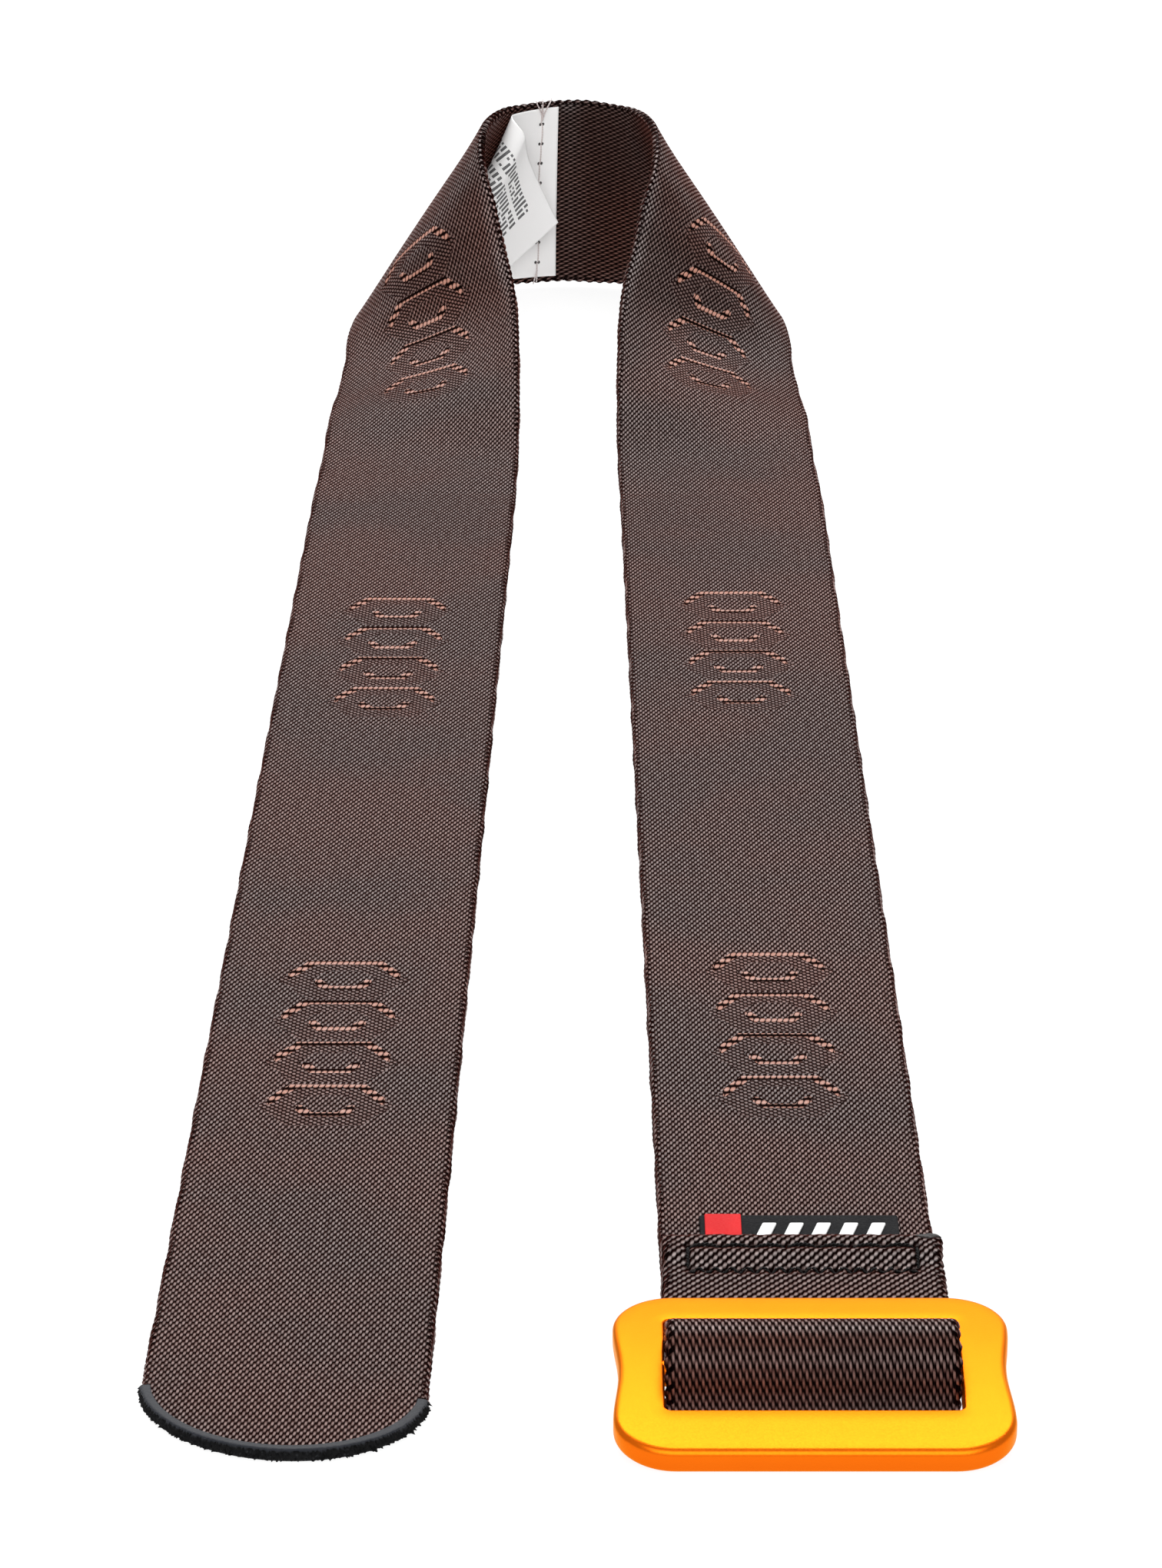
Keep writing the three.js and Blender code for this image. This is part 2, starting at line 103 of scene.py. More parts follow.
# %% Name the measures
mm = 0.001
strap_width = 38.0
strap_thickness = 1000 * (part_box("tongue_edge_seal")[1].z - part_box("tongue_edge_seal")[0].z)
half_width = strap_width / 2
half_thick = strap_thickness / 2
leg_length = 389.1
tongue_overrun = 16.5
tongue_sag = 17.0
tongue_skew = 0.12
seal_band = 1.6
scallop_pitch = 2.1
toe_degrees = {-1: 1.12, 1: 0.57}

loop_inner_radius = 4.2
loop_slope = math.radians(56)
loop_ease_radius = 5.0
layer_gap = 0.3
flap_length = 44.4
tab_thickness = 0.8
tab_root = 4.5
tab_gap = 0.15
print("strap", strap_width, "by", round(strap_thickness, 2), "mm")

# %% [markdown]
# ## How the strap runs
# A strap can't stretch, so its course is the whole of its shape. Three lines are carried along it: the
# outer edge, the middle and the inner edge. At the back bend the strap twists up on its edge,
# and the three lines are smooth curves through a dozen stations, given in strap widths. The legs are
# straight, and the loop round the crossbar is an arc, a slope and a short easing curve. A Catmull-Rom
# curve is used because it goes through its stations, as a real strap goes where it is held.

# %% Stations of the back bend
# These are the rounded result of a fit made outside this script, with a few heights changed by hand.
bend_rails = np.array([
    [[0.0, -0.1, 0.02], [0.0, 0.0, 0.51], [0.0, 0.09, 1.0]],
    [[0.36, -0.18, 0.02], [0.34, -0.11, 0.52], [0.3, -0.09, 1.01]],
    [[0.63, -0.34, 0.04], [0.57, -0.33, 0.54], [0.42, -0.38, 1.01]],
    [[0.85, -0.56, 0.07], [0.72, -0.6, 0.55], [0.45, -0.69, 0.96]],
    [[1.01, -0.83, 0.09], [0.79, -0.91, 0.53], [0.43, -0.98, 0.86]],
    [[1.11, -1.13, 0.09], [0.8, -1.21, 0.46], [0.37, -1.26, 0.72]],
    [[1.16, -1.44, 0.06], [0.76, -1.5, 0.34], [0.32, -1.54, 0.57]],
    [[1.17, -1.81, 0.03], [0.71, -1.84, 0.21], [0.27, -1.88, 0.44]],
    [[1.19, -2.23, 0.01], [0.71, -2.25, 0.13], [0.25, -2.28, 0.32]],
    [[1.22, -2.75, 0.01], [0.73, -2.77, 0.09], [0.24, -2.8, 0.19]],
    [[1.23, -3.38, 0.002], [0.73, -3.39, 0.02], [0.24, -3.41, 0.05]],
    [[1.25, -4.01, 0.0], [0.75, -4.02, 0.0], [0.25, -4.03, 0.0]],
])
leg_start_x, leg_start_y = bend_rails[-1, 1, :2] * strap_width
bar_y = leg_start_y - leg_length
tongue_y = bar_y - tongue_overrun


def leg_x(side, y):
    """The middle of a leg: it leaves the bend and opens outwards by its toe angle."""
    return side * (leg_start_x + (leg_start_y - y) * math.tan(math.radians(toe_degrees[side])))


buckle_x = leg_x(1, bar_y)
shift = np.array([1000 * hinge["pos_m"][0] - buckle_x, 1000 * hinge["pos_m"][1] - bar_y, 0.0])
print("crossbar at", round(buckle_x + shift[0], 2), round(bar_y + shift[1], 2))


# %% Curves through the stations
def catmull_rom(points, t):
    """A smooth curve through points, with t from 0 to 1: each span is the cubic whose slope at a point
    is half the step between that point's two neighbours."""
    spans = len(points) - 1
    place = np.clip(t, 0, 1) * spans
    i = np.minimum(place.astype(int), spans - 1)
    f = (place - i).reshape(-1, *[1] * (points.ndim - 1))
    padded = np.concatenate([2 * points[:1] - points[1:2], points, 2 * points[-1:] - points[-2:-1]])
    a, b, c, d = padded[i], padded[i + 1], padded[i + 2], padded[i + 3]
    return 0.5 * (2 * b + (c - a) * f + (2 * a - 5 * b + 4 * c - d) * f**2 + (3 * b - a - 3 * c + d) * f**3)


def bend_stations():
    """Both halves of the bend in millimetres, from the left leg round to the right one. Where the strap
    lies down its middle is lifted by half its thickness."""
    rise = np.minimum(1, bend_rails[:, 2, 2] - bend_rails[:, 0, 2])
    right = bend_rails * strap_width
    right[:, :, 2] += (half_thick * np.sqrt(1 - rise**2))[:, None]
    left = right[:0:-1] * [-1, 1, 1]
    return np.concatenate([left, right])


stations = bend_stations()
print("bend stations:", len(stations))


# %% The loop round the crossbar and the flap
loop_radius = loop_inner_radius + half_thick
loop_z = strap_thickness + loop_inner_radius
flap_z = half_thick + strap_thickness + layer_gap
flap_end_z = half_thick + strap_thickness + tab_thickness + 2 * tab_gap
loop_drop = loop_z + loop_radius * math.cos(loop_slope) - flap_z
slope_run = (loop_drop - loop_ease_radius * (1 - math.cos(loop_slope))) / math.sin(loop_slope)
slope_y = bar_y + loop_radius * math.sin(loop_slope)
ease_y = slope_y + slope_run * math.cos(loop_slope)
flap_flat_y = ease_y + loop_ease_radius * math.sin(loop_slope)
flap_end_y = bar_y + flap_length
flap_rise_end = flap_end_y - tab_root - tab_gap
flap_rise_length = 4.0


def flap_height(y):
    """The flap's middle surface: flat, then up by a smooth step on to the tab that is under its end."""
    share = np.clip((y - flap_rise_end) / flap_rise_length + 1, 0, 1)
    return flap_z + share**2 * (3 - 2 * share) * (flap_end_z - flap_z)


def loop_profile():
    """y and z of the strap round the crossbar: an arc, a straight slope, an easing arc and the flap."""
    turn = np.linspace(0, math.pi + loop_slope, 80)
    power = np.where(turn < math.pi / 2, 0.72, 1.0)
    round_y = np.sign(np.sin(turn)) * np.abs(np.sin(turn)) ** power
    round_z = np.sign(np.cos(turn)) * np.abs(np.cos(turn)) ** power
    arc = np.stack([bar_y - loop_radius * round_y, loop_z - loop_radius * round_z], 1)
    ease = np.linspace(loop_slope, 0, 20)
    easing = np.stack([
        flap_flat_y - loop_ease_radius * np.sin(ease),
        flap_z + loop_ease_radius * (1 - np.cos(ease)),
    ], 1)
    y = np.linspace(flap_flat_y, flap_end_y, 60)[1:]
    return np.concatenate([arc[1:], easing, np.stack([y, flap_height(y)], 1)])


# %% The whole course, with its length
def straight_rails(side, y, z):
    """Three level lines across a leg: outer edge, middle and inner edge."""
    x = leg_x(side, y) if np.ndim(y) else np.full(1, leg_x(side, y))
    offsets = np.array([half_width, 0, -half_width]) * side
    rails = np.empty((len(y), 3, 3))
    rails[:, :, 0] = x[:, None] + offsets
    rails[:, :, 1] = y[:, None]
    rails[:, :, 2] = z[:, None]
    return rails


def whole_course():
    """Outer, middle and inner lines from the tongue's tip to the flap's cut end, with the distance along
    the middle line."""
    left_y = np.linspace(tongue_y, leg_start_y, 60)[:-1]
    left = straight_rails(-1, left_y, np.full(len(left_y), half_thick))
    bend = catmull_rom(stations, np.linspace(0, 1, 2201))
    right_y = np.linspace(leg_start_y, bar_y, 60)[1:]
    right = straight_rails(1, right_y, np.full(len(right_y), half_thick))
    profile = loop_profile()
    loop = straight_rails(1, profile[:, 0], profile[:, 1])
    loop[:, :, 0] += buckle_x - leg_x(1, profile[:, 0])[:, None]
    rails = np.concatenate([left, bend, right, loop])
    steps = np.linalg.norm(np.diff(rails[:, 1], axis=0), axis=1)
    return np.concatenate([[0], np.cumsum(steps)]), rails


course_s, course_rails = whole_course()
strap_length = course_s[-1]
loop_start_s = strap_length - (course_s[-1] - course_s[-1 - len(loop_profile())])
bend_start_s = leg_start_y - tongue_y
bend_end_s = loop_start_s - leg_length
print("strap length", round(strap_length, 1), "mm, bend", round(bend_start_s), "to", round(bend_end_s))


def strap_surface(s, a):
    """The strap's middle surface at distance s from the tongue and a across from its middle: the
    parabola through the three lines."""
    at = [np.interp(s, course_s, course_rails[:, i, j]) for i in range(3) for j in range(3)]
    outer, middle, inner = (np.stack(at[3 * i:3 * i + 3], -1) for i in range(3))
    v = (a / strap_width + 0.5)[..., None]
    return outer * (1 - v) * (1 - 2 * v) + middle * 4 * v * (1 - v) + inner * v * (2 * v - 1)


def strap_normal(s, a):
    """Which way the strap's face looks: the cross product of the steps across it and along it."""
    step = 0.6
    along = strap_surface(s + step, a) - strap_surface(s - step, a)
    across = strap_surface(s, a + step) - strap_surface(s, a - step)
    normal = np.cross(across, along)
    return normal / np.linalg.norm(normal, axis=-1, keepdims=True)


# %% [markdown]
# ## Making a mesh
# Every new piece is a grid of points: a section carried along a path, worked out as whole arrays. One
# helper turns such a grid into a mesh, closes its ends, gives it a map in metres for its pattern, puts
# it on the body it rides on, and hides the plain solid it stands for.

# %% Helpers for grids and pieces
def grid_faces(rows, around, first=0):
    """Four-sided faces of a grid whose sections are closed rings, with a flat face on each end."""
    i = np.arange(rows - 1)[:, None]
    k = np.arange(around)[None, :]
    after = (k + 1) % around
    quads = np.stack([i * around + k, i * around + after, (i + 1) * around + after, (i + 1) * around + k], -1)
    ends = [list(range(around)), list(range((rows - 1) * around, rows * around))]
    faces = quads.reshape(-1, 4).tolist() + ends
    return [[first + p for p in face] for face in faces] if first else faces


def make_piece(name, points, faces, finish, body="strap_body", replaced=(), uv=None, marks=None):
    """A closed mesh from points in millimetres. uv is one pair of metres for each point, and marks are
    named values, one for each point, that its finish reads."""
    mesh = bpy.data.meshes.new(name)
    mesh.from_pydata((points + shift) * mm, [], faces)
    if uv is not None:
        corners = np.empty(len(mesh.loops), np.int32)
        mesh.loops.foreach_get("vertex_index", corners)
        mesh.uv_layers.new(name="cloth").data.foreach_set("uv", uv[corners].astype(np.float32).ravel())
    for mark, values in (marks or {}).items():
        made = mesh.attributes.new(mark, "FLOAT", "POINT")
        made.data.foreach_set("value", np.asarray(values, np.float32))
    shell = bmesh.new()
    shell.from_mesh(mesh)
    bmesh.ops.recalc_face_normals(shell, faces=shell.faces)
    shell.to_mesh(mesh)
    shell.free()
    mesh.polygons.foreach_set("use_smooth", np.ones(len(mesh.polygons), bool))
    mesh.materials.append(finish)
    piece = bpy.data.objects.new(name, mesh)
    bpy.context.scene.collection.objects.link(piece)
    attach(piece, body)
    if replaced:
        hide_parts(*replaced)
    print(name, len(mesh.polygons), "faces")
    return piece


# %% [markdown]
# ## Building finishes from nodes
# Nylon, rubber and anodised metal look different mostly in how their surface breaks the light. Shared
# effects are node groups that give out heights and masks; each material then feeds them to its own
# shader. Small helper functions keep the node trees readable as arithmetic.

# %% Node helpers
def add_node(tree, kind, inputs=None, **settings):
    """A node with its settings, and its inputs given as numbers or as other nodes' outputs."""
    made = tree.nodes.new(kind)
    for name, value in settings.items():
        setattr(made, name, value)
    for key, value in (inputs or {}).items():
        if isinstance(value, bpy.types.NodeSocket):
            tree.links.new(value, made.inputs[key])
        else:
            made.inputs[key].default_value = value
    return made


def calc(tree, operation, *values):
    """One step of arithmetic."""
    return add_node(tree, "ShaderNodeMath", dict(enumerate(values)), operation=operation).outputs[0]


def ramp(tree, value, low, high, to_low=0.0, to_high=1.0):
    """value from low to high becomes to_low to to_high, smoothly, and stays there outside."""
    inputs = {"Value": value, "From Min": low, "From Max": high, "To Min": to_low, "To Max": to_high}
    return add_node(tree, "ShaderNodeMapRange", inputs, interpolation_type="SMOOTHSTEP").outputs[0]


def blend_colours(tree, share, first, second, blend_type="MIX"):
    """first where share is 0 and second where it is 1."""
    made = add_node(tree, "ShaderNodeMix", {0: share}, data_type="RGBA", blend_type=blend_type)
    for index, colour in ((6, first), (7, second)):
        if isinstance(colour, bpy.types.NodeSocket):
            tree.links.new(colour, made.inputs[index])
        else:
            made.inputs[index].default_value = (*colour, 1)
    return made.outputs[2]


def blend_values(tree, share, first, second):
    """first where share is 0 and second where it is 1, for plain numbers."""
    return add_node(tree, "ShaderNodeMix", {0: share, 2: first, 3: second}, data_type="FLOAT").outputs[0]


def new_group(name, inputs, outputs):
    """A shader node group with named sockets. inputs maps a name to its default, or to None for a
    vector."""
    tree = bpy.data.node_groups.new(name, "ShaderNodeTree")
    for label, default in inputs.items():
        kind = "NodeSocketVector" if default is None else "NodeSocketFloat"
        socket = tree.interface.new_socket(name=label, in_out="INPUT", socket_type=kind)
        if default is not None:
            socket.default_value = default
    for label in outputs:
        tree.interface.new_socket(name=label, in_out="OUTPUT", socket_type="NodeSocketFloat")
    return tree, tree.nodes.new("NodeGroupInput").outputs, tree.nodes.new("NodeGroupOutput").inputs


def use_group(tree, group, **inputs):
    """The group placed in a material with its own values."""
    made = tree.nodes.new("ShaderNodeGroup")
    made.node_tree = group
    for key, value in inputs.items():
        label = key.replace("_", " ")
        if isinstance(value, bpy.types.NodeSocket):
            tree.links.new(value, made.inputs[label])
        else:
            made.inputs[label].default_value = value
    return made.outputs


# %% [markdown]
# ### The twill weave
# In a twill each warp yarn floats over several weft yarns and then dives, and the next yarn does the
# same a step later. So the height is a product: a yarn is round across its width, and swells along its
# float. The floats lean a little, because the yarns are twisted, and that draws the slanting lines.

# %% Group: twill weave
def weave_group():
    """Height = the yarn's round section times its swell along the float. Crest is the float's bright
    top."""
    inputs = {"Place": None, "Yarn pitch": 0.43, "Float period": 1.92, "Step": 0.5, "Lean": 0.9}
    tree, given, out = new_group("twill_weave", inputs, ["Height", "Crest"])
    place = add_node(tree, "ShaderNodeSeparateXYZ", {0: given["Place"]}).outputs
    x = calc(tree, "DIVIDE", calc(tree, "MULTIPLY", place["X"], 1000), given["Yarn pitch"])
    yarn = calc(tree, "ROUND", x)
    y = calc(tree, "DIVIDE", calc(tree, "MULTIPLY", place["Y"], 1000), given["Float period"])
    y = calc(tree, "SUBTRACT", y, calc(tree, "MULTIPLY", yarn, given["Step"]))
    along = calc(tree, "SUBTRACT", y, calc(tree, "ROUND", y))
    across = calc(tree, "SUBTRACT", x, yarn)
    across = calc(tree, "ADD", across, calc(tree, "MULTIPLY", along, given["Lean"]))
    round_part = calc(tree, "SUBTRACT", 1, calc(tree, "POWER", calc(tree, "MULTIPLY", across, 2), 2))
    section = calc(tree, "SQRT", calc(tree, "MAXIMUM", round_part, 0))
    wave = calc(tree, "COSINE", calc(tree, "MULTIPLY", along, 2 * math.pi))
    swell = calc(tree, "MULTIPLY_ADD", wave, 0.5, 0.5)
    height = calc(tree, "MULTIPLY", section, calc(tree, "MULTIPLY_ADD", swell, 0.7, 0.3))
    crest = calc(tree, "MULTIPLY", calc(tree, "POWER", section, 2), calc(tree, "POWER", swell, 1.5))
    tree.links.new(height, out["Height"])
    tree.links.new(crest, out["Crest"])
    return tree


twill = weave_group()

# %% [markdown]
# ### The woven figure
# Every hand's length the webbing carries a figure: the loom changes from twill to a fine plain weave
# inside the figure, so it shows as a change of texture in the same colour. Here it is four
# six-sided rings, one behind another, which stand in for a woven name. Where a ring's edge crosses the
# warp, the yarns have just been let go, and lie in loose loops; the finish paints the loops bright, as a
# painted highlight, and the gaps between them near black, as painted shade.

# %% Group: figure
figure_pitch = 175.2
figure_first = 136.9
ring_pitch = 16.2
ring_count = 4
ring_half_length = 7.5
ring_half_width = 9.8
ring_hole = 0.5


def figure_group():
    """Inside is 1 on the rings. Edge is 1 on the thin lines where a ring's edge crosses the warp."""
    tree, given, out = new_group("woven_figure", {"Place": None}, ["Inside", "Edge"])
    place = add_node(tree, "ShaderNodeSeparateXYZ", {0: given["Place"]}).outputs
    across = calc(tree, "ABSOLUTE", calc(tree, "MULTIPLY", place["X"], 1000))
    along = calc(tree, "MULTIPLY", place["Y"], 1000)
    along = calc(tree, "ADD", along, figure_pitch / 2 - figure_first)
    along = calc(tree, "SUBTRACT", calc(tree, "FLOORED_MODULO", along, figure_pitch), figure_pitch / 2)
    reach = ring_pitch * ring_count / 2
    in_figure = calc(tree, "LESS_THAN", calc(tree, "ABSOLUTE", along), reach)
    on_legs = calc(tree, "LESS_THAN", calc(tree, "MULTIPLY", place["Y"], 1000), loop_start_s)
    in_figure = calc(tree, "MULTIPLY", in_figure, on_legs)
    middle_s = (bend_start_s + bend_end_s) / 2
    back = calc(tree, "GREATER_THAN", calc(tree, "MULTIPLY", place["Y"], 1000), middle_s)
    along = calc(tree, "MULTIPLY", along, calc(tree, "MULTIPLY_ADD", back, -2, 1))
    centred = calc(tree, "FLOORED_MODULO", calc(tree, "ADD", along, reach), ring_pitch)
    centred = calc(tree, "SUBTRACT", centred, ring_pitch / 2)
    ring = calc(tree, "ABSOLUTE", centred)
    flat = calc(tree, "DIVIDE", ring, ring_half_length)
    slant = calc(tree, "DIVIDE", calc(tree, "MULTIPLY_ADD", ring, 0.6, across), ring_half_width)
    size = calc(tree, "MAXIMUM", flat, slant)
    past_hole = calc(tree, "GREATER_THAN", size, ring_hole)
    body = calc(tree, "MULTIPLY", calc(tree, "LESS_THAN", size, 1), past_hole)
    tree.links.new(calc(tree, "MULTIPLY", body, in_figure), out["Inside"])
    line_width = 0.75
    far_side = calc(tree, "GREATER_THAN", centred, 0)
    edges = []
    for level, on_side in ((1.0, far_side), (ring_hole, calc(tree, "SUBTRACT", 1, far_side))):
        off = calc(tree, "ABSOLUTE", calc(tree, "SUBTRACT", size, level - 0.06))
        near = calc(tree, "LESS_THAN", calc(tree, "MULTIPLY", off, ring_half_length), line_width)
        short = calc(tree, "LESS_THAN", across, level * ring_half_width * 0.86)
        edges.append(calc(tree, "MULTIPLY", calc(tree, "MULTIPLY", near, short), on_side))
    edge = calc(tree, "MULTIPLY", calc(tree, "MAXIMUM", *edges), in_figure)
    tree.links.new(edge, out["Edge"])
    return tree


figure = figure_group()

# %% [markdown]
# ### Grain
# Nothing real is even. One small group gives every finish a fine grain for its bump and a slow mottle
# for its colour, at sizes set by each material.

# %% Group: grain
def grain_group():
    """Fine is a small noise and Slow a broad one, both from 0 to 1."""
    inputs = {"Place": None, "Fine size": 0.3, "Slow size": 30.0}
    tree, given, out = new_group("grain", inputs, ["Fine", "Slow"])
    for label in ("Fine", "Slow"):
        scale = calc(tree, "DIVIDE", 1000, given[label + " size"])
        inputs = {"Vector": given["Place"], "Scale": scale, "Detail": 3.0}
        noise = add_node(tree, "ShaderNodeTexNoise", inputs)
        tree.links.new(noise.outputs["Fac"], out[label])
    return tree


grain = grain_group()
print("node groups:", [group.name for group in bpy.data.node_groups])


# %% Start a material
def new_finish(name, **constants):
    """A material with one Principled shader and constants set on its own sockets."""
    material = bpy.data.materials.new(name)
    material.use_nodes = True
    tree = material.node_tree
    shader = tree.nodes["Principled BSDF"]
    for key, value in constants.items():
        shader.inputs[key.replace("_", " ")].default_value = value
    return material, tree, shader


def bump_into(tree, shader, height, distance_mm, strength=1.0):
    """Height feeds a bump of that real depth."""
    inputs = {"Height": height, "Distance": distance_mm * mm, "Strength": strength}
    bump = add_node(tree, "ShaderNodeBump", inputs)
    tree.links.new(bump.outputs["Normal"], shader.inputs["Normal"])


# %% [markdown]
# ### Brown webbing
# The nylon itself is nearly black. What is seen on a strap that lies flat is mostly light that glances
# off the tops of its yarns, so the webbing looks pale and pinkish at a low angle, and almost black where
# it faces the viewer. The yarns are therefore dark with a reflecting crest, and the gaps reflect nothing.
# The crests also get a lighter base colour, as a painted highlight, and the gaps a near-black one, as
# painted shade. The pattern is laid out on the strap's own map, so it turns and twists with the cloth.
# The flap is drawn about by its stitches, and shows coarser floats that lean to both sides; its stitch
# grooves are painted near black, as painted shade.

# %% Webbing finish
def webbing_finish():
    material, tree, shader = new_finish(
        "brown_webbing", Specular_IOR_Level=0.0, Coat_IOR=1.55, Coat_Roughness=0.33,
        Sheen_Weight=0.10, Sheen_Roughness=0.3, Sheen_Tint=(1.0, 0.26, 0.20, 1),
    )
    place = add_node(tree, "ShaderNodeUVMap", uv_map="cloth").outputs["UV"]
    rough = use_group(tree, grain, Place=place, Fine_size=1.1, Slow_size=42.0)
    twill_part = use_group(tree, twill, Place=place, Lean=-0.45)
    plain_part = use_group(tree, twill, Place=place, Yarn_pitch=0.58, Float_period=1.25, Lean=0.2)
    loose_part = use_group(tree, twill, Place=place, Yarn_pitch=0.87, Float_period=2.4, Step=0.0, Lean=-0.5)
    sewn_part = use_group(tree, twill, Place=place, Yarn_pitch=0.62, Float_period=1.7, Lean=0.9)
    figures = use_group(tree, figure, Place=place)
    inside, edge = figures["Inside"], figures["Edge"]
    sewn = add_node(tree, "ShaderNodeAttribute", attribute_name="sewn").outputs["Fac"]

    height, crest = twill_part["Height"], twill_part["Crest"]
    for share, part in ((inside, plain_part), (edge, loose_part), (sewn, sewn_part)):
        height = blend_values(tree, share, height, part["Height"])
        crest = blend_values(tree, share, crest, part["Crest"])

    spark = ramp(tree, rough["Fine"], 0.34, 0.66, 0.55, 1.0)
    crest = calc(tree, "MULTIPLY", crest, spark)
    tone = ramp(tree, rough["Slow"], 0.37, 0.63)
    # Painted highlight and painted shade: the yarn crests get a lighter base colour and the gaps between the
    # yarns a near-black one, on top of the real shine of the coat.
    yarn = blend_colours(tree, tone, (0.028, 0.008, 0.006), (0.017, 0.009, 0.008))
    light = blend_colours(tree, tone, (0.190, 0.072, 0.050), (0.135, 0.070, 0.058))
    colour = blend_colours(tree, ramp(tree, height, 0.25, 0.75), (0.002, 0.0008, 0.0006), yarn)
    colour = blend_colours(tree, crest, colour, light)
    # Painted highlight: the loose floats at the rings' edges get a bright base colour, with near-black
    # painted shade between them.
    loose = blend_colours(
        tree, ramp(tree, loose_part["Height"], 0.35, 0.75), (0.001, 0.0006, 0.0005), (0.38, 0.17, 0.12))
    colour = blend_colours(tree, edge, colour, loose)

    parts = add_node(tree, "ShaderNodeSeparateXYZ", {0: place}).outputs
    across = calc(tree, "ABSOLUTE", calc(tree, "MULTIPLY", parts["X"], 1000))
    turn = calc(tree, "MULTIPLY_ADD", across, 0.7, calc(tree, "MULTIPLY", parts["Y"], 1000))
    notch = calc(tree, "SINE", calc(tree, "MULTIPLY", turn, 2 * math.pi / scallop_pitch))
    on_selvedge = ramp(tree, across, half_width - 1.5, half_width - 0.9)
    notch = calc(tree, "MULTIPLY", ramp(tree, notch, 0.1, 0.7), on_selvedge)
    # Painted shade: the mark read here darkens the sewn flap's stitch grooves to near black and takes their
    # shine away; the selvedge notches are added to it.
    stitch_groove_shade = add_node(tree, "ShaderNodeAttribute", attribute_name="stitch_groove_shade").outputs["Fac"]
    notch = calc(tree, "MAXIMUM", notch, ramp(tree, stitch_groove_shade, 0.25, 0.85))
    colour = blend_colours(tree, notch, colour, (0.002, 0.001, 0.001))
    shine = calc(tree, "MULTIPLY", crest, calc(tree, "SUBTRACT", 1, notch))
    shine = calc(tree, "MULTIPLY", shine, blend_values(tree, inside, 1.0, 0.75))
    tree.links.new(calc(tree, "MINIMUM", calc(tree, "MULTIPLY", shine, 1.4), 1), shader.inputs["Coat Weight"])
    tree.links.new(colour, shader.inputs["Base Color"])
    tree.links.new(ramp(tree, crest, 0.1, 0.7, 0.9, 0.6), shader.inputs["Roughness"])
    bump_into(tree, shader, height, 0.2)
    return material


webbing = webbing_finish()

# %% [markdown]
# ### Gold anodised aluminium
# The buckle is tumbled, satin and dyed gold-orange. A metal's colour is in its reflection, so the
# softbox behind the belt turns the top faces yellow, while the faces that see only the floor stay
# orange. The satin comes from the roughness and a very fine grain.

# %% Gold finish
def gold_finish():
    material, tree, shader = new_finish("gold_anodised", Metallic=1.0, Specular_Tint=(1.0, 1.0, 0.55, 1))
    place = add_node(tree, "ShaderNodeTexCoord").outputs["Object"]
    rough = use_group(tree, grain, Place=place, Fine_size=0.25, Slow_size=9.0)
    colour = blend_colours(tree, rough["Slow"], (0.91, 0.168, 0.005), (0.89, 0.152, 0.004))
    tree.links.new(colour, shader.inputs["Base Color"])
    tree.links.new(ramp(tree, rough["Fine"], 0.2, 0.8, 0.30, 0.38), shader.inputs["Roughness"])
    bump_into(tree, shader, rough["Fine"], 0.012)
    return material


gold = gold_finish()


# %% [markdown]
# ### Rubber, thread and melted nylon
# These are small and plain, so one recipe serves them all: a colour with a slow mottle, a roughness
# and a grain with its own size and depth.

# %% Plain finishes
def plain_finish(name, light, dark, roughness, grain_size, grain_depth, slow_size=6.0, **constants):
    """A colour that drifts between two shades, with a grain in its surface."""
    material, tree, shader = new_finish(name, **constants)
    place = add_node(tree, "ShaderNodeTexCoord").outputs["Object"]
    rough = use_group(tree, grain, Place=place, Fine_size=grain_size, Slow_size=slow_size)
    colour = blend_colours(tree, ramp(tree, rough["Slow"], 0.3, 0.7), dark, light)
    tree.links.new(colour, shader.inputs["Base Color"])
    spread = ramp(tree, rough["Fine"], 0.25, 0.75, roughness - 0.08, roughness + 0.08)
    tree.links.new(spread, shader.inputs["Roughness"])
    bump_into(tree, shader, rough["Fine"], grain_depth)
    return material


tab_rubber = plain_finish(
    "tab_rubber", (0.010, 0.010, 0.011), (0.005, 0.005, 0.006),
    0.6, 0.35, 0.04, Specular_IOR_Level=0.04)
red_rubber = plain_finish(
    "red_rubber", (0.66, 0.012, 0.014), (0.56, 0.008, 0.010),
    0.6, 0.35, 0.03, Specular_IOR_Level=0.1)
white_rubber = plain_finish("white_rubber", (0.86, 0.86, 0.85), (0.78, 0.78, 0.78), 0.45, 0.35, 0.03)
black_thread = plain_finish(
    "black_thread", (0.006, 0.005, 0.005), (0.002, 0.0015, 0.0015),
    0.6, 0.12, 0.03, Specular_IOR_Level=0.12)
grey_thread = plain_finish("grey_thread", (0.74, 0.67, 0.66), (0.55, 0.47, 0.46), 0.5, 0.12, 0.03)
melted = plain_finish(
    "melted_nylon", (0.010, 0.005, 0.004), (0.002, 0.001, 0.001),
    0.42, 0.5, 0.15, Specular_IOR_Level=0.25)


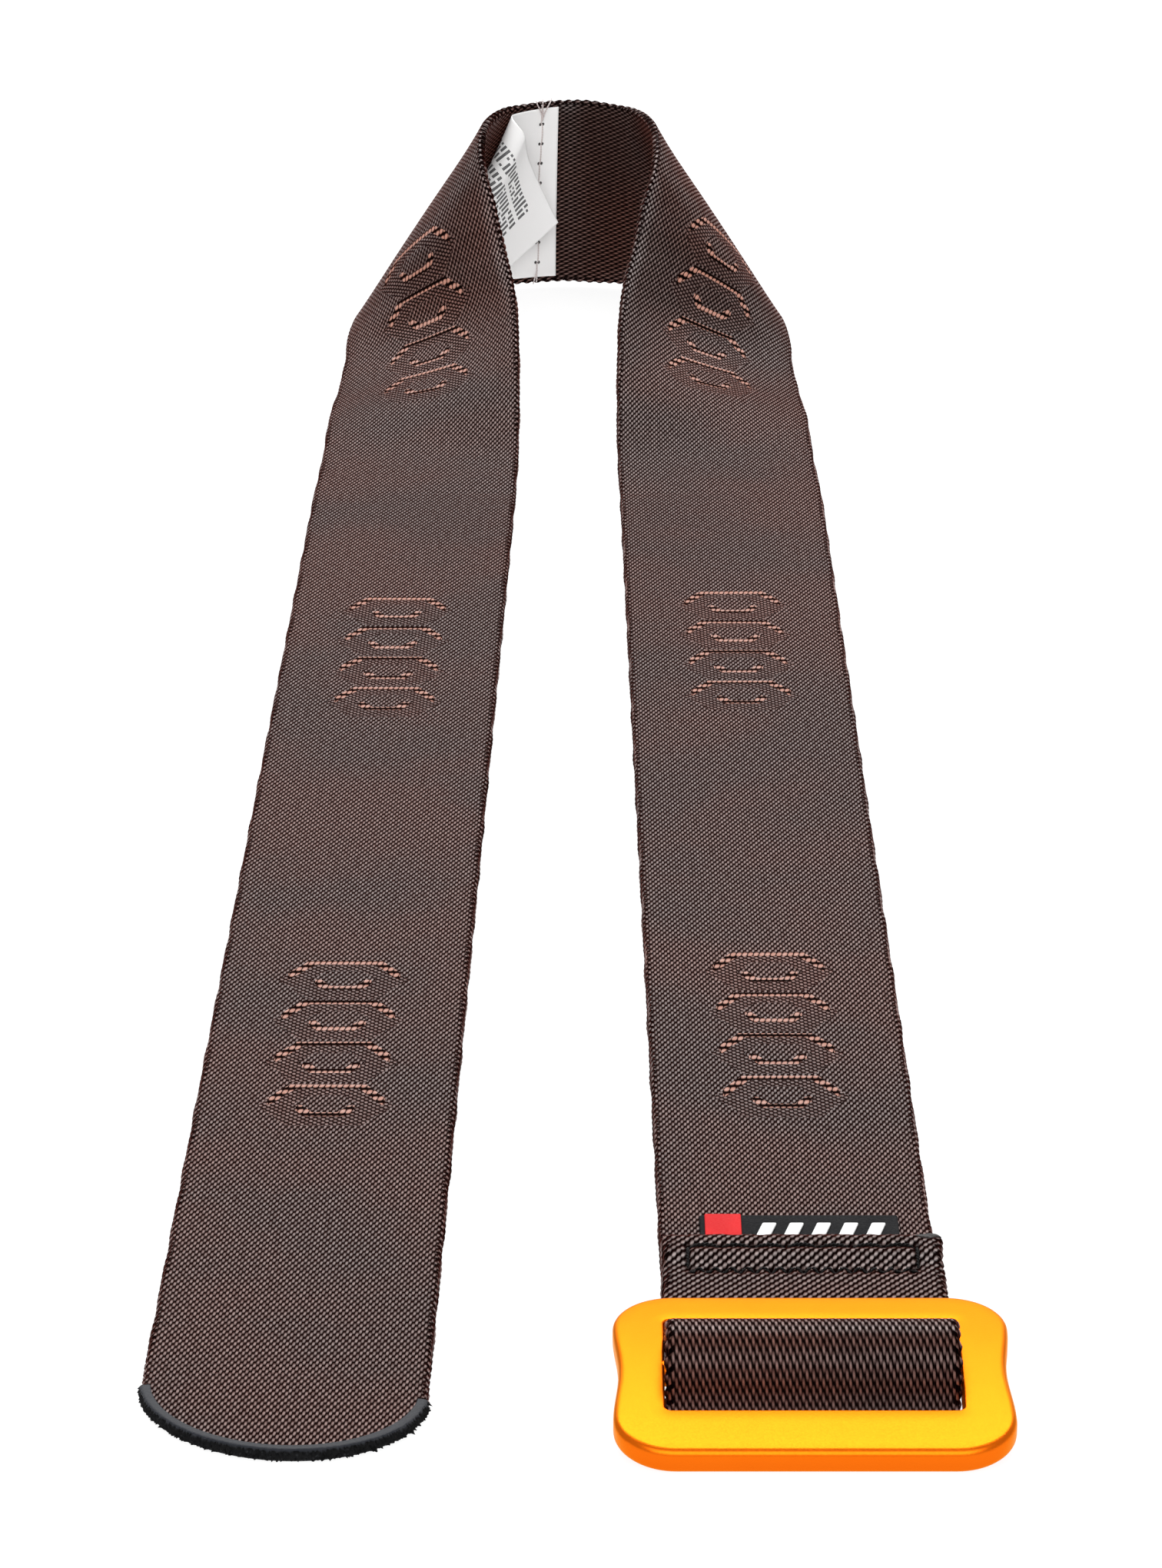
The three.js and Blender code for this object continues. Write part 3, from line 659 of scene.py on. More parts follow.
# %% Seal finish
def seal_finish():
    """Smooth grey film on top, and a black ragged cut edge where the mark named cut is 1."""
    material, tree, shader = new_finish("edge_seal", Specular_IOR_Level=0.12)
    place = add_node(tree, "ShaderNodeTexCoord").outputs["Object"]
    rough = use_group(tree, grain, Place=place, Fine_size=0.5, Slow_size=8.0)
    cut = add_node(tree, "ShaderNodeAttribute", attribute_name="cut").outputs["Fac"]
    film = blend_colours(tree, rough["Slow"], (0.013, 0.014, 0.019), (0.021, 0.023, 0.029))
    ragged = blend_colours(
        tree, ramp(tree, rough["Fine"], 0.55, 0.8), (0.004, 0.004, 0.0045), (0.022, 0.023, 0.025))
    tree.links.new(blend_colours(tree, cut, film, ragged), shader.inputs["Base Color"])
    tree.links.new(blend_values(tree, cut, 0.38, 0.75), shader.inputs["Roughness"])
    height = calc(tree, "MULTIPLY", rough["Fine"], blend_values(tree, cut, 0.12, 1.0))
    bump_into(tree, shader, height, 0.4)
    return material


edge_seal = seal_finish()

# %% [markdown]
# ### Care label
# The label is white woven satin, printed with washing instructions on one side. The print is a
# texture of short plain bars in rows, with no letters in it. It is on the ribbon's reverse, which shows
# where the ribbon folds back over itself.

# %% Label finish
def label_finish():
    material, tree, shader = new_finish(
        "satin_label", Sheen_Weight=0.2, Sheen_Roughness=0.3, Sheen_Tint=(1, 1, 1, 1),
    )
    place = add_node(tree, "ShaderNodeUVMap", uv_map="cloth").outputs["UV"]
    rough = use_group(tree, grain, Place=place, Fine_size=0.4, Slow_size=14.0)
    satin = use_group(tree, twill, Place=place, Yarn_pitch=0.12, Float_period=0.6, Step=0.4, Lean=0.0)
    parts = add_node(tree, "ShaderNodeSeparateXYZ", {0: place}).outputs
    length = calc(tree, "MULTIPLY", parts["X"], 1000)
    up = calc(tree, "MULTIPLY", parts["Y"], 1000)
    line = calc(tree, "DIVIDE", length, print_spacing)
    row = calc(tree, "FLOOR", line)
    in_line = calc(tree, "LESS_THAN", calc(tree, "FRACT", line), 0.55)
    place_in_row = calc(tree, "FLOOR", calc(tree, "DIVIDE", up, 0.5))
    cell = add_node(tree, "ShaderNodeCombineXYZ", {0: row, 1: place_in_row})
    dice = add_node(tree, "ShaderNodeTexWhiteNoise", {"Vector": cell.outputs[0]}, noise_dimensions="2D")
    ink = calc(tree, "MULTIPLY", in_line, calc(tree, "GREATER_THAN", dice.outputs["Value"], 0.14))
    for value, low, high in ((length, *print_lengths), (up, *print_heights)):
        ink = calc(tree, "MULTIPLY", ink, calc(tree, "GREATER_THAN", value, low))
        ink = calc(tree, "MULTIPLY", ink, calc(tree, "LESS_THAN", value, high))
    column = calc(tree, "FRACT", calc(tree, "DIVIDE", up, print_column))
    ink = calc(tree, "MULTIPLY", ink, calc(tree, "GREATER_THAN", column, 0.2))
    printed = add_node(tree, "ShaderNodeAttribute", attribute_name="printed").outputs["Fac"]
    ink = calc(tree, "MULTIPLY", ink, printed)
    white = blend_colours(tree, rough["Slow"], (0.95, 0.94, 0.935), (0.99, 0.985, 0.98))
    colour = blend_colours(tree, calc(tree, "MULTIPLY", ink, 0.9), white, (0.03, 0.03, 0.032))
    hole_up = calc(tree, "DIVIDE", calc(tree, "SUBTRACT", up, label_hole_first), label_hole_pitch)
    hole_up = calc(tree, "FRACT", hole_up)
    hole_up = calc(tree, "SUBTRACT", calc(tree, "ABSOLUTE", calc(tree, "SUBTRACT", hole_up, 0.5)), 0.5)
    hole_up = calc(tree, "POWER", calc(tree, "MULTIPLY", hole_up, label_hole_pitch / 0.34), 2)
    hole_along = calc(tree, "ABSOLUTE", calc(tree, "SUBTRACT", length, label_stitch_inset))
    hole_along = calc(tree, "POWER", calc(tree, "DIVIDE", calc(tree, "SUBTRACT", hole_along, 0.34), 0.30), 2)
    hole = ramp(tree, calc(tree, "ADD", hole_up, hole_along), 1.3, 0.5)
    colour = blend_colours(tree, hole, colour, (0.03, 0.025, 0.024))
    tree.links.new(colour, shader.inputs["Base Color"])
    tree.links.new(ramp(tree, satin["Height"], 0, 1, 0.5, 0.35), shader.inputs["Roughness"])
    bump_into(tree, shader, satin["Height"], 0.02)
    return material


print_spacing = 1.15
print_column = 5.2
label_hole_pitch = 4.1
label_hole_first = 3.0
label_stitch_inset = 4.0
print_lengths = (10.0, 37.6)
print_heights = (2.0, 30.5)
satin_label = label_finish()
print("materials:", len(bpy.data.materials))

# %% [markdown]
# ## The strap
# A flat section is carried along the course. Its two edges are rounded, and they are drawn in and out
# every two millimetres, because the weft turns round there and makes little scallops. The
# legs get a slow wave, since nylon webbing never lies dead flat. The stretch that goes round the
# crossbar and is sewn down is a second, finer grid in the same mesh, so that the stitches can pull it in.

# %% The strap's section
scallop_depth = 0.34
edge_radius = half_thick


def section_ring(face_points, edge_points=7):
    """Once round the strap's section: over the face, round an edge, back under, and round the other.
    Gives the distance across, the height, and how much each point is on an edge."""
    flat = half_width - edge_radius
    face = np.linspace(-flat, flat, face_points)
    turn = np.linspace(math.pi / 2, -math.pi / 2, edge_points + 2)[1:-1]
    across = np.concatenate([
        face, flat + edge_radius * np.cos(turn), face[::-1], -flat - edge_radius * np.cos(turn)])
    height = np.concatenate([
        np.full(face_points, half_thick), half_thick * np.sin(turn),
        np.full(face_points, -half_thick), -half_thick * np.sin(turn)])
    on_edge = np.concatenate([
        np.zeros(face_points), np.cos(turn), np.zeros(face_points), np.cos(turn)])
    return across, height, on_edge


def tongue_reach(a):
    """How far the rounded tongue reaches forward of its corners: an arc that leans a little."""
    radius = (half_width**2 + tongue_sag**2) / (2 * tongue_sag)
    a = np.clip(a, -half_width, half_width)
    return np.sqrt(radius**2 - a**2) - (radius - tongue_sag) + tongue_skew * a


def tongue_edge(a, inset):
    """Distance along the strap of a line that runs inside the tongue's edge by inset."""
    return tongue_sag - tongue_reach(a) + inset


def slow_wave(s, a):
    """The unevenness of a strap that lies by itself: three slow waves, all upwards."""
    wave = np.sin(s / 19.0 + 0.8 * np.sin(s / 47.0)) + 0.6 * np.sin(s / 7.3 + a / 9.0)
    fade = 1 / (1 + np.exp(-(s - tongue_edge(a, 9.0)) / 1.8))
    return 0.05 * (1.6 + wave) * (1 - 0.5 * (a / half_width) ** 2) * fade


def strap_grid(s, ring, drawn_in=0.1):
    """The section placed at each s, which is one value for each point of the grid."""
    across, height, on_edge = (np.broadcast_to(part, s.shape) for part in ring)
    scallop = scallop_depth * (0.5 + 0.5 * np.cos(2 * np.pi * s / scallop_pitch))
    fine = 0.07 * np.sin(s / 3.1) + 0.05 * np.sin(s / 1.7 + 2)
    across = across - np.sign(across) * on_edge * (scallop + fine + drawn_in)
    return across, height, strap_surface(s, across), strap_normal(s, np.clip(across, -17.5, 17.5))


# %% The long run
row_step = scallop_pitch / 4
seal_overlap = 1.2


def long_run():
    """From inside the tongue's seal to the underside of the crossbar."""
    ring = section_ring(15, 5)
    first = tongue_edge(ring[0], seal_overlap)
    straight = tongue_sag + half_width
    fan = np.linspace(0, 1, 70)[:, None] ** 0.9
    rows = np.arange(straight, loop_start_s + 1.0, row_step)[1:, None]
    s = np.concatenate([first + fan * (straight - first), np.broadcast_to(rows, (len(rows), len(first)))])
    across, height, middle, normal = strap_grid(s, ring)
    lying = np.clip(normal[..., 2], 0, 1) ** 4
    points = middle + normal * (height + slow_wave(s, across) * lying * (height > 0))[..., None]
    return s, across, height, points, np.zeros_like(s)


# %% The sewn flap's relief
stitch_row_inset = 3.5
stitch_row_spacing = 6.4
stitch_row_width = 31.0
stitch_count = 7
zigzag_pitch = 2.1
zigzag_height = 1.6
front_row_y = flap_end_y - stitch_row_inset
rear_row_y = front_row_y - stitch_row_spacing


def flap_relief(x, y):
    """How far the sewn flap is drawn down (negative) or puffs up: a groove along each row of stitches,
    deepest at the needle holes, and soft pillows between the rows. x is from the flap's middle."""
    reach = 1 / (1 + np.exp((np.abs(x) - stitch_row_width / 2 - 0.3) / 0.25))
    stitch = stitch_row_width / stitch_count
    hole = 0.5 + 0.5 * np.cos(2 * np.pi * (x + stitch_row_width / 2) / stitch)
    front = -(0.30 + 0.22 * hole**6) * np.exp(-((y - front_row_y) / 0.75) ** 2)
    notch = 0.5 + 0.5 * np.cos(2 * np.pi * x / zigzag_pitch)
    rear = -(0.12 + 0.55 * notch**2) * np.exp(-((y - rear_row_y) / 0.85) ** 2)
    pillow = 0.20 * np.exp(-((y - (front_row_y + rear_row_y) / 2) / 1.7) ** 2) * (0.6 + 0.4 * notch)
    lip = 0.10 * np.exp(-((y - front_row_y - 2.2) / 1.2) ** 2)
    sides = -0.28 * np.exp(-((np.abs(x) - stitch_row_width / 2) / 0.6) ** 2)
    sides = sides / (1 + np.exp((np.abs(y - (front_row_y + rear_row_y) / 2) - 3.2) / 0.3))
    return (front + rear + pillow + lip) * reach + sides


def flap_run():
    """The finer grid: under the crossbar, round it, and back to the cut end."""
    ring = section_ring(91, 5)
    steps = int((strap_length - loop_start_s) / 0.45)
    share = np.linspace(0, 1, steps)[:, None]
    ragged = 0.18 * np.sin(ring[0] * 1.9) + 0.12 * np.sin(ring[0] * 4.7 + 1)
    last = strap_length - 0.3 + ragged
    s = loop_start_s + share * (last - loop_start_s)
    across, height, middle, normal = strap_grid(s, ring, drawn_in=-0.2)
    on_flap = 1 / (1 + np.exp(-(s - (strap_length - 22)) / 0.8))
    relief = flap_relief(middle[..., 0] - buckle_x, middle[..., 1]) * on_flap
    points = middle + normal * height[..., None]
    points[..., 2] += relief * np.where(height < 0, 1.0, 0.15)
    # The last value is painted shade: how dark the stitch grooves are painted, from how deep the relief goes.
    return s, across, height, points, np.clip(-2.2 * relief, 0, 1)


# %% Join the two runs into one strap
def make_strap():
    points, faces, uv, sewn, stitch_groove_shade = [], [], [], [], []
    for s, across, height, placed, groove_shade in (long_run(), flap_run()):
        first = sum(len(part) for part in points)
        faces += grid_faces(*s.shape, first=first)
        points.append(placed.reshape(-1, 3))
        sewn.append(1 / (1 + np.exp(-(s.ravel() - (strap_length - 30)) / 0.6)))
        uv.append(np.stack([across.ravel(), s.ravel()], 1) * mm)
        # This mark carries the painted shade of the stitch grooves.
        stitch_groove_shade.append(groove_shade.ravel())
    return make_piece(
        "woven_strap", np.concatenate(points), faces, webbing, replaced=["strap"],
        uv=np.concatenate(uv), marks={"sewn": np.concatenate(sewn), "stitch_groove_shade": np.concatenate(stitch_groove_shade)},
    )


strap = make_strap()

# %% [markdown]
# ## The seal on the tongue
# The tongue was cut with a hot die and dipped, so its rounded end has a smooth grey band on the face and
# a rough black edge. It is a section carried along the tongue's arc: a thin lip that lies on the cloth, a
# rounded shoulder, and a wall that is roughened by a seeded noise.

# %% Make the seal
def make_seal():
    """Distance inside the edge and height round the section, carried round the tongue's arc. The section
    shrinks towards the arc's centre, so the band is equally wide all the way."""
    count = 400
    lip = 0.07
    section = np.array([
        [seal_band, half_thick - 0.02], [seal_band - 0.2, half_thick + lip], [1.3, half_thick + lip],
        [0.7, half_thick + lip], [0.38, half_thick + 0.02], [0.2, half_thick - 0.14],
        [0.10, 0.55], [0.06, 0.3], [0.04, 0.0], [0.08, -0.3], [0.2, -0.6], [0.5, -half_thick + 0.03],
        [1.2, -half_thick + 0.02], [seal_band, -half_thick + 0.03],
    ])
    radius = (half_width**2 + tongue_sag**2) / (2 * tongue_sag)
    last = math.asin(half_width / radius)
    turn = np.linspace(-last, last, count)[:, None]
    cut = np.broadcast_to(np.clip((0.78 - section[:, 1]) / 0.2, 0, 1) * (section[:, 0] < 0.45), (count, 14))
    noise = np.random.default_rng(7).normal(size=cut.shape)
    noise = (noise + 0.6 * np.roll(noise, 1, 0)) * 0.17 * cut
    reach = radius - section[:, 0] - noise
    across = reach * np.sin(turn)
    s = tongue_sag - (reach * np.cos(turn) - (radius - tongue_sag) + tongue_skew * across)
    middle = strap_surface(s, across)
    points = middle + np.stack([np.zeros_like(s), np.zeros_like(s), section[:, 1] + noise * 0.5], -1)
    points[..., 2] = np.maximum(points[..., 2], 0.01)
    return make_piece(
        "tongue_seal", points.reshape(-1, 3), grid_faces(*s.shape), edge_seal,
        replaced=["tongue_edge_seal"], marks={"cut": cut.ravel()},
    )


seal = make_seal()

# %% [markdown]
# ## The buckle
# The buckle is one casting: a frame with a slot on each side of its crossbar, tumbled until every edge is
# soft. The frame is a grid between two matched outlines, the outside and the slot, with a rounded
# section from one to the other. It lies flat while it is worked out, and then takes the tilt that the
# hinge's height gives it. A very slight bow along its depth lets the two limbs catch the light differently.

# %% Outlines of the frame
frame_width = 51.6
frame_thick = 3.4
front_limb = 9.3
rear_limb = 6.6
slot_depth = 21.8
slot_side_gap = 0.3
corner_radius = 8.0
slot_corner = 0.9
waist = 0.7
frame_bow = 280.0
frame_lift = 0.25
crossbar_radius = 1.7
frame_tilt = math.asin((2 * strap_thickness + layer_gap) / (front_limb + slot_depth))


def rounded_outline(x, low, high, radius, straight_points, corner_points, drawn_in=0.0):
    """Anticlockwise round a rectangle of half-width x from low to high, with arcs for corners. Its two
    short sides are drawn in at their middles by a cosine."""
    long = np.linspace(-1, 1, straight_points, endpoint=False)
    share = np.linspace(0, 1, straight_points, endpoint=False)
    arc = np.linspace(0, math.pi / 2, corner_points, endpoint=False)
    side = x - drawn_in / 2 * (1 - np.cos(2 * np.pi * share))
    rise = low + radius + share * (high - low - 2 * radius)
    parts = [
        np.stack([long * (x - radius), np.full(straight_points, low)], 1),
        np.stack([x - radius + radius * np.sin(arc), low + radius - radius * np.cos(arc)], 1),
        np.stack([side, rise], 1),
        np.stack([x - radius + radius * np.cos(arc), high - radius + radius * np.sin(arc)], 1),
        np.stack([-long * (x - radius), np.full(straight_points, high)], 1),
        np.stack([-x + radius - radius * np.sin(arc), high - radius + radius * np.cos(arc)], 1),
        np.stack([-side, low + high - rise], 1),
        np.stack([-x + radius - radius * np.cos(arc), low + radius - radius * np.sin(arc)], 1),
    ]
    return np.concatenate(parts)


def soft_section(thick, radius, slot_radius, corner_points=6):
    """Once round a flat bar's section, from its outer side over the top to the slot and back under. Gives
    the side (1 outside, 0 slot, between on the flats), the distance in from that side, and the height."""
    arc = np.linspace(0, math.pi / 2, corner_points)
    inset = radius * (1 - np.cos(arc))
    lift = thick / 2 - radius + radius * np.sin(arc)
    outer = np.stack([np.ones(corner_points), inset, lift], 1)
    inner = np.stack([
        np.zeros(corner_points), slot_radius * (1 - np.cos(arc)),
        thick / 2 - slot_radius + slot_radius * np.sin(arc)], 1)[::-1]
    flat = [[1 - share, radius, thick / 2] for share in (0.25, 0.5, 0.75)]
    top = np.concatenate([outer, flat, inner])
    return np.concatenate([top, top[::-1] * [1, 1, -1]])


def buckle_place(flat_points):
    """Tilts points that lie flat round the crossbar, and puts them at the hinge."""
    c, s = math.cos(frame_tilt), math.sin(frame_tilt)
    x, y, z = flat_points[..., 0], flat_points[..., 1], flat_points[..., 2]
    z = z - (y + (front_limb - rear_limb) / 2) ** 2 / (2 * frame_bow) + frame_lift
    turned = np.stack([x, y * c - z * s, y * s + z * c], -1)
    return turned + [buckle_x, bar_y, 1000 * hinge["pos_m"][2]]


# %% Make the frame
def make_frame():
    slot_x = half_width + slot_side_gap - 0.15
    low, high = -(slot_depth / 2 + front_limb), slot_depth / 2 + rear_limb
    outside = rounded_outline(frame_width / 2, low, high, corner_radius, 30, 18, waist)
    slot = rounded_outline(slot_x, -slot_depth / 2, slot_depth / 2, slot_corner, 30, 18)
    section = soft_section(frame_thick, 1.0, 0.35)
    step = outside - slot
    width = np.linalg.norm(step, axis=1, keepdims=True)
    inset = np.minimum(section[:, 1] / width, 0.5)
    side = section[:, 0]
    share = np.where(side == 1, 1 - inset, np.where(side == 0, inset, inset + side * (1 - 2 * inset)))
    flat = slot[:, None] + share[..., None] * step[:, None]
    height = np.broadcast_to(section[:, 2], share.shape)
    points = buckle_place(np.concatenate([flat, height[..., None]], -1))
    rows, around = share.shape
    i = np.arange(rows)[:, None]
    k = np.arange(around)[None, :]
    quads = np.stack([
        i * around + k, i * around + (k + 1) % around,
        (i + 1) % rows * around + (k + 1) % around, (i + 1) % rows * around + k,
    ], -1)
    return make_piece(
        "buckle_frame_cast", points.reshape(-1, 3), quads.reshape(-1, 4).tolist(), gold,
        body="buckle_body", replaced=["buckle_frame"],
    )


def make_crossbar():
    """A plain round bar whose ends run into the frame."""
    length = strap_width + 2 * slot_side_gap + 3
    share = np.linspace(-1, 1, 60)
    turn = np.linspace(0, 2 * math.pi, 32, endpoint=False)
    x = np.broadcast_to((share * length / 2)[:, None], (60, 32))
    y = np.broadcast_to(crossbar_radius * np.cos(turn), x.shape)
    z = np.broadcast_to(crossbar_radius * np.sin(turn), x.shape)
    flat = np.stack([x, y, z], -1)
    return make_piece(
        "buckle_crossbar", buckle_place(flat).reshape(-1, 3), grid_faces(60, 32), gold,
        body="buckle_body",
    )


buckle_frame = make_frame()
crossbar = make_crossbar()

# %% [markdown]
# ## Thread
# Sewing thread is two plies twisted together, and at this size the twist is what makes it look like
# thread and not like wire. Each ply is a small tube wound round the stitch's path. A stitch is a shallow
# arch that dives into the cloth at both ends, so its ends are never seen.

# %% Thread helper
def ply_points(path, radius, pitch=1.1, sides=6, plies=2):
    """Two small tubes that wind round a path: the centre of each turns about the path once a pitch."""
    steps = np.linalg.norm(np.diff(path, axis=0), axis=1)
    distance = np.concatenate([[0], np.cumsum(steps)])
    tangent = np.gradient(path, axis=0)
    tangent /= np.linalg.norm(tangent, axis=1, keepdims=True)
    guide = np.array([0.31, 0.17, 0.93])
    side = np.cross(tangent, guide)
    side /= np.linalg.norm(side, axis=1, keepdims=True)
    up = np.cross(side, tangent)
    turn = np.linspace(0, 2 * math.pi, sides, endpoint=False)
    tubes = []
    for ply in range(plies):
        wind = 2 * math.pi * distance / pitch + ply * 2 * math.pi / plies
        centre = path + 0.5 * radius * (np.cos(wind)[:, None] * side + np.sin(wind)[:, None] * up)
        ring = 0.58 * radius * (
            np.cos(turn)[None, :, None] * side[:, None] + np.sin(turn)[None, :, None] * up[:, None])
        tubes.append(centre[:, None] + ring)
    return tubes


def make_thread(name, paths, radius, finish, replaced=(), body="strap_body"):
    """All the stitches of a row in one mesh."""
    points, faces = [], []
    for path in paths:
        for tube in ply_points(path, radius):
            faces += grid_faces(tube.shape[0], tube.shape[1], first=sum(len(p) for p in points))
            points.append(tube.reshape(-1, 3))
    return make_piece(name, np.concatenate(points), faces, finish, body=body, replaced=replaced)


# %% The two rows on the flap
thread_radius = 0.28


def flap_stitch(start, end, rise=0.10, count=18):
    """An arch from one needle hole to the next, over the flap's relief. start and end are x and y from
    the flap's middle."""
    share = np.linspace(0, 1, count)[:, None]
    flat = np.array(start) * (1 - share) + np.array(end) * share
    x, y = flat[:, 0], flat[:, 1]
    top = flap_height(y) + half_thick + flap_relief(x, y)
    arch = np.sin(math.pi * share[:, 0]) ** 0.5
    sink = -0.55 * (1 - arch)
    return np.stack([buckle_x + x, y, top + thread_radius * 0.8 * arch + rise * arch + sink], 1)


def front_row_paths():
    holes = np.linspace(-stitch_row_width / 2, stitch_row_width / 2, stitch_count + 1)
    drift = 0.22 * np.sin(np.arange(len(holes)) * 2.3)
    paths = [
        flap_stitch((a, front_row_y + da), (b, front_row_y + db))
        for a, b, da, db in zip(holes, holes[1:], drift, drift[1:])
    ]
    for side in (-1, 1):
        x = side * stitch_row_width / 2
        paths.append(flap_stitch((x, front_row_y), (x, rear_row_y + 0.6)))
    return paths


def zigzag_paths():
    half = stitch_row_width / 2
    count = int(stitch_row_width // zigzag_pitch) * 2
    x = np.linspace(-half, half, count + 1)
    y = rear_row_y + np.where(np.arange(count + 1) % 2, 0.5, -0.5) * zigzag_height
    return [flap_stitch((x[k], y[k]), (x[k + 1], y[k + 1]), rise=0.0, count=9) for k in range(count)]


front_row = make_thread(
    "front_stitches", front_row_paths(), thread_radius, black_thread,
    replaced=["flap_front_stitch_row"])
zigzag_row = make_thread(
    "zigzag_stitches", zigzag_paths(), thread_radius * 0.8, black_thread,
    replaced=["flap_zigzag_stitch_row"])

# %% [markdown]
# ## The rubber tab
# A small moulded tab is caught under the flap's end. It is black rubber with a red patch at one end and a
# row of raised white slanted bars. Each is a plate with soft edges: the outline is stepped in along a
# quarter circle at its top and bottom.

# %% Soft plates
def soft_plate(name, corners, low, high, radius, finish, replaced, corner_points=6):
    """A flat plate from an outline of corners in millimetres. Each corner is rounded by radius times
    1.5, and the outline is drawn towards the middle along a quarter circle at top and bottom."""
    corners = np.array(corners, float)
    before, after = np.roll(corners, 1, 0), np.roll(corners, -1, 0)
    to_before = (before - corners) / np.linalg.norm(before - corners, axis=1, keepdims=True)
    to_after = (after - corners) / np.linalg.norm(after - corners, axis=1, keepdims=True)
    share = np.linspace(0, 1, corner_points)[None, :, None]
    start, end = corners + to_before * radius * 1.5, corners + to_after * radius * 1.5
    outline = (
        start[:, None] * (1 - share) ** 2
        + 2 * corners[:, None] * share * (1 - share)
        + end[:, None] * share**2
    ).reshape(-1, 2)
    tangent = np.roll(outline, -1, 0) - np.roll(outline, 1, 0)
    inward = np.stack([-tangent[:, 1], tangent[:, 0]], 1) / np.linalg.norm(tangent, axis=1, keepdims=True)
    if np.sum(inward * (outline.mean(0) - outline)) < 0:
        inward = -inward
    arc = np.linspace(0, math.pi / 2, 5)
    edge = min(radius, (high - low) / 2)
    inset = np.concatenate([edge * (1 - np.sin(arc)), edge * (1 - np.cos(arc))])
    z = np.concatenate([low + edge * (1 - np.cos(arc)), high - edge * (1 - np.sin(arc))])
    rings = outline[None] + inward[None] * inset[:, None, None]
    points = np.concatenate([rings, np.broadcast_to(z[:, None, None], (*rings.shape[:2], 1))], -1)
    faces = grid_faces(*points.shape[:2])
    return make_piece(name, points.reshape(-1, 3), faces, finish, replaced=replaced)


def box_corners(node):
    """The four corners, in plan, of a node's box, and its height, in the strap's own millimetres."""
    low, high = (1000 * np.array(corner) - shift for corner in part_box(node))
    corners = [(low[0], low[1]), (high[0], low[1]), (high[0], high[1]), (low[0], high[1])]
    return corners, low[2], high[2]


# %% Make the tab
plan, low, high = box_corners("tab_label")
tab = soft_plate("rubber_tab", plan, low, high, 0.3, tab_rubber, ["tab_label"])
plan, low, high = box_corners("tab_end_patch")
patch = soft_plate("red_patch", plan, low - 0.06, high, 0.16, red_rubber, ["tab_end_patch"])

bar_lean = 1.4
for index in range(1, 6):
    plan, low, high = box_corners(f"tab_bar_{index}")
    (left, front), (right, _), (_, back), _ = plan
    slanted = [(left, front), (right - bar_lean, front), (right, back), (left + bar_lean, back)]
    soft_plate(
        f"white_bar_{index}", slanted, low - 0.06, high, 0.16, white_rubber,
        [f"tab_bar_{index}"])

# %% [markdown]
# ## The melted corner
# The flap's cut end was sealed with a flame, and at one corner the nylon ran into a dark bead. A squashed
# ball with a few lumps on it, made as a grid of latitude and longitude, is enough.

# %% Make the bead
def make_bead():
    """Radius = 1 plus lumps, on a sphere squashed to the bead's length, depth and height."""
    rows, around = 28, 36
    polar = np.linspace(0.03, math.pi - 0.03, rows)[:, None]
    turn = np.linspace(0, 2 * math.pi, around, endpoint=False)[None, :]
    lumps = (1 + 0.10 * np.sin(3 * turn + 4 * polar) * np.sin(polar)
             + 0.06 * np.cos(5 * turn) * np.sin(polar) ** 2)
    ball = np.stack([
        np.cos(polar) * lumps, np.sin(polar) * np.cos(turn) * lumps,
        np.sin(polar) * np.sin(turn) * lumps], -1)
    centre = [buckle_x + half_width - 1.9, flap_end_y - 0.6, flap_end_z + half_thick - 0.25]
    points = ball * [1.9, 0.75, 0.5] + centre
    return make_piece("melted_bead", points.reshape(-1, 3), grid_faces(rows, around), melted)


bead = make_bead()

# %% [markdown]
# ## The care label
# A short satin ribbon is sewn to the inside of the back bend by one seam. It lies flat against the
# strap, and its free end rolls over a slanting line and falls back over itself. The roll is exact: past
# the line the ribbon follows half a circle, and then runs straight back.

# %% The label's measures
label_width = 35.0
label_length = 44.8
label_thick = 0.22
label_gap = 0.25
label_start = 2.8
label_fold_inset = 12.0
label_fold_angle = math.radians(62)
label_fold_radius = 2.4
label_foot = (strap_width - label_width) / 2
back_middle_s = (bend_start_s + bend_end_s) / 2


def inner_face(left, up, off):
    """A place off the strap's inner face: left of the back's middle, and up from its lower edge."""
    s, a = back_middle_s - left, np.clip(up, 0, strap_width) - half_width
    return strap_surface(s, a) - strap_normal(s, a) * (half_thick + off)[..., None]


def label_surface(length, up, off):
    """The ribbon's surface: flat, then half a circle past the slanting line, then back over itself."""
    sine, cosine = math.sin(label_fold_angle), math.cos(label_fold_angle)
    past = (length - label_fold_inset) * sine + (up - label_width) * cosine
    roll = math.pi * label_fold_radius
    angle = np.clip(past, 0, roll) / label_fold_radius
    radius = label_fold_radius - off
    shift_in = np.where(past > roll, -(2 * past - roll), radius * np.sin(angle) - np.maximum(past, 0))
    rise = label_fold_radius - radius * np.cos(angle)
    left = label_start + length + shift_in * sine
    return inner_face(left, label_foot + up + shift_in * cosine, label_gap + label_thick / 2 + rise)


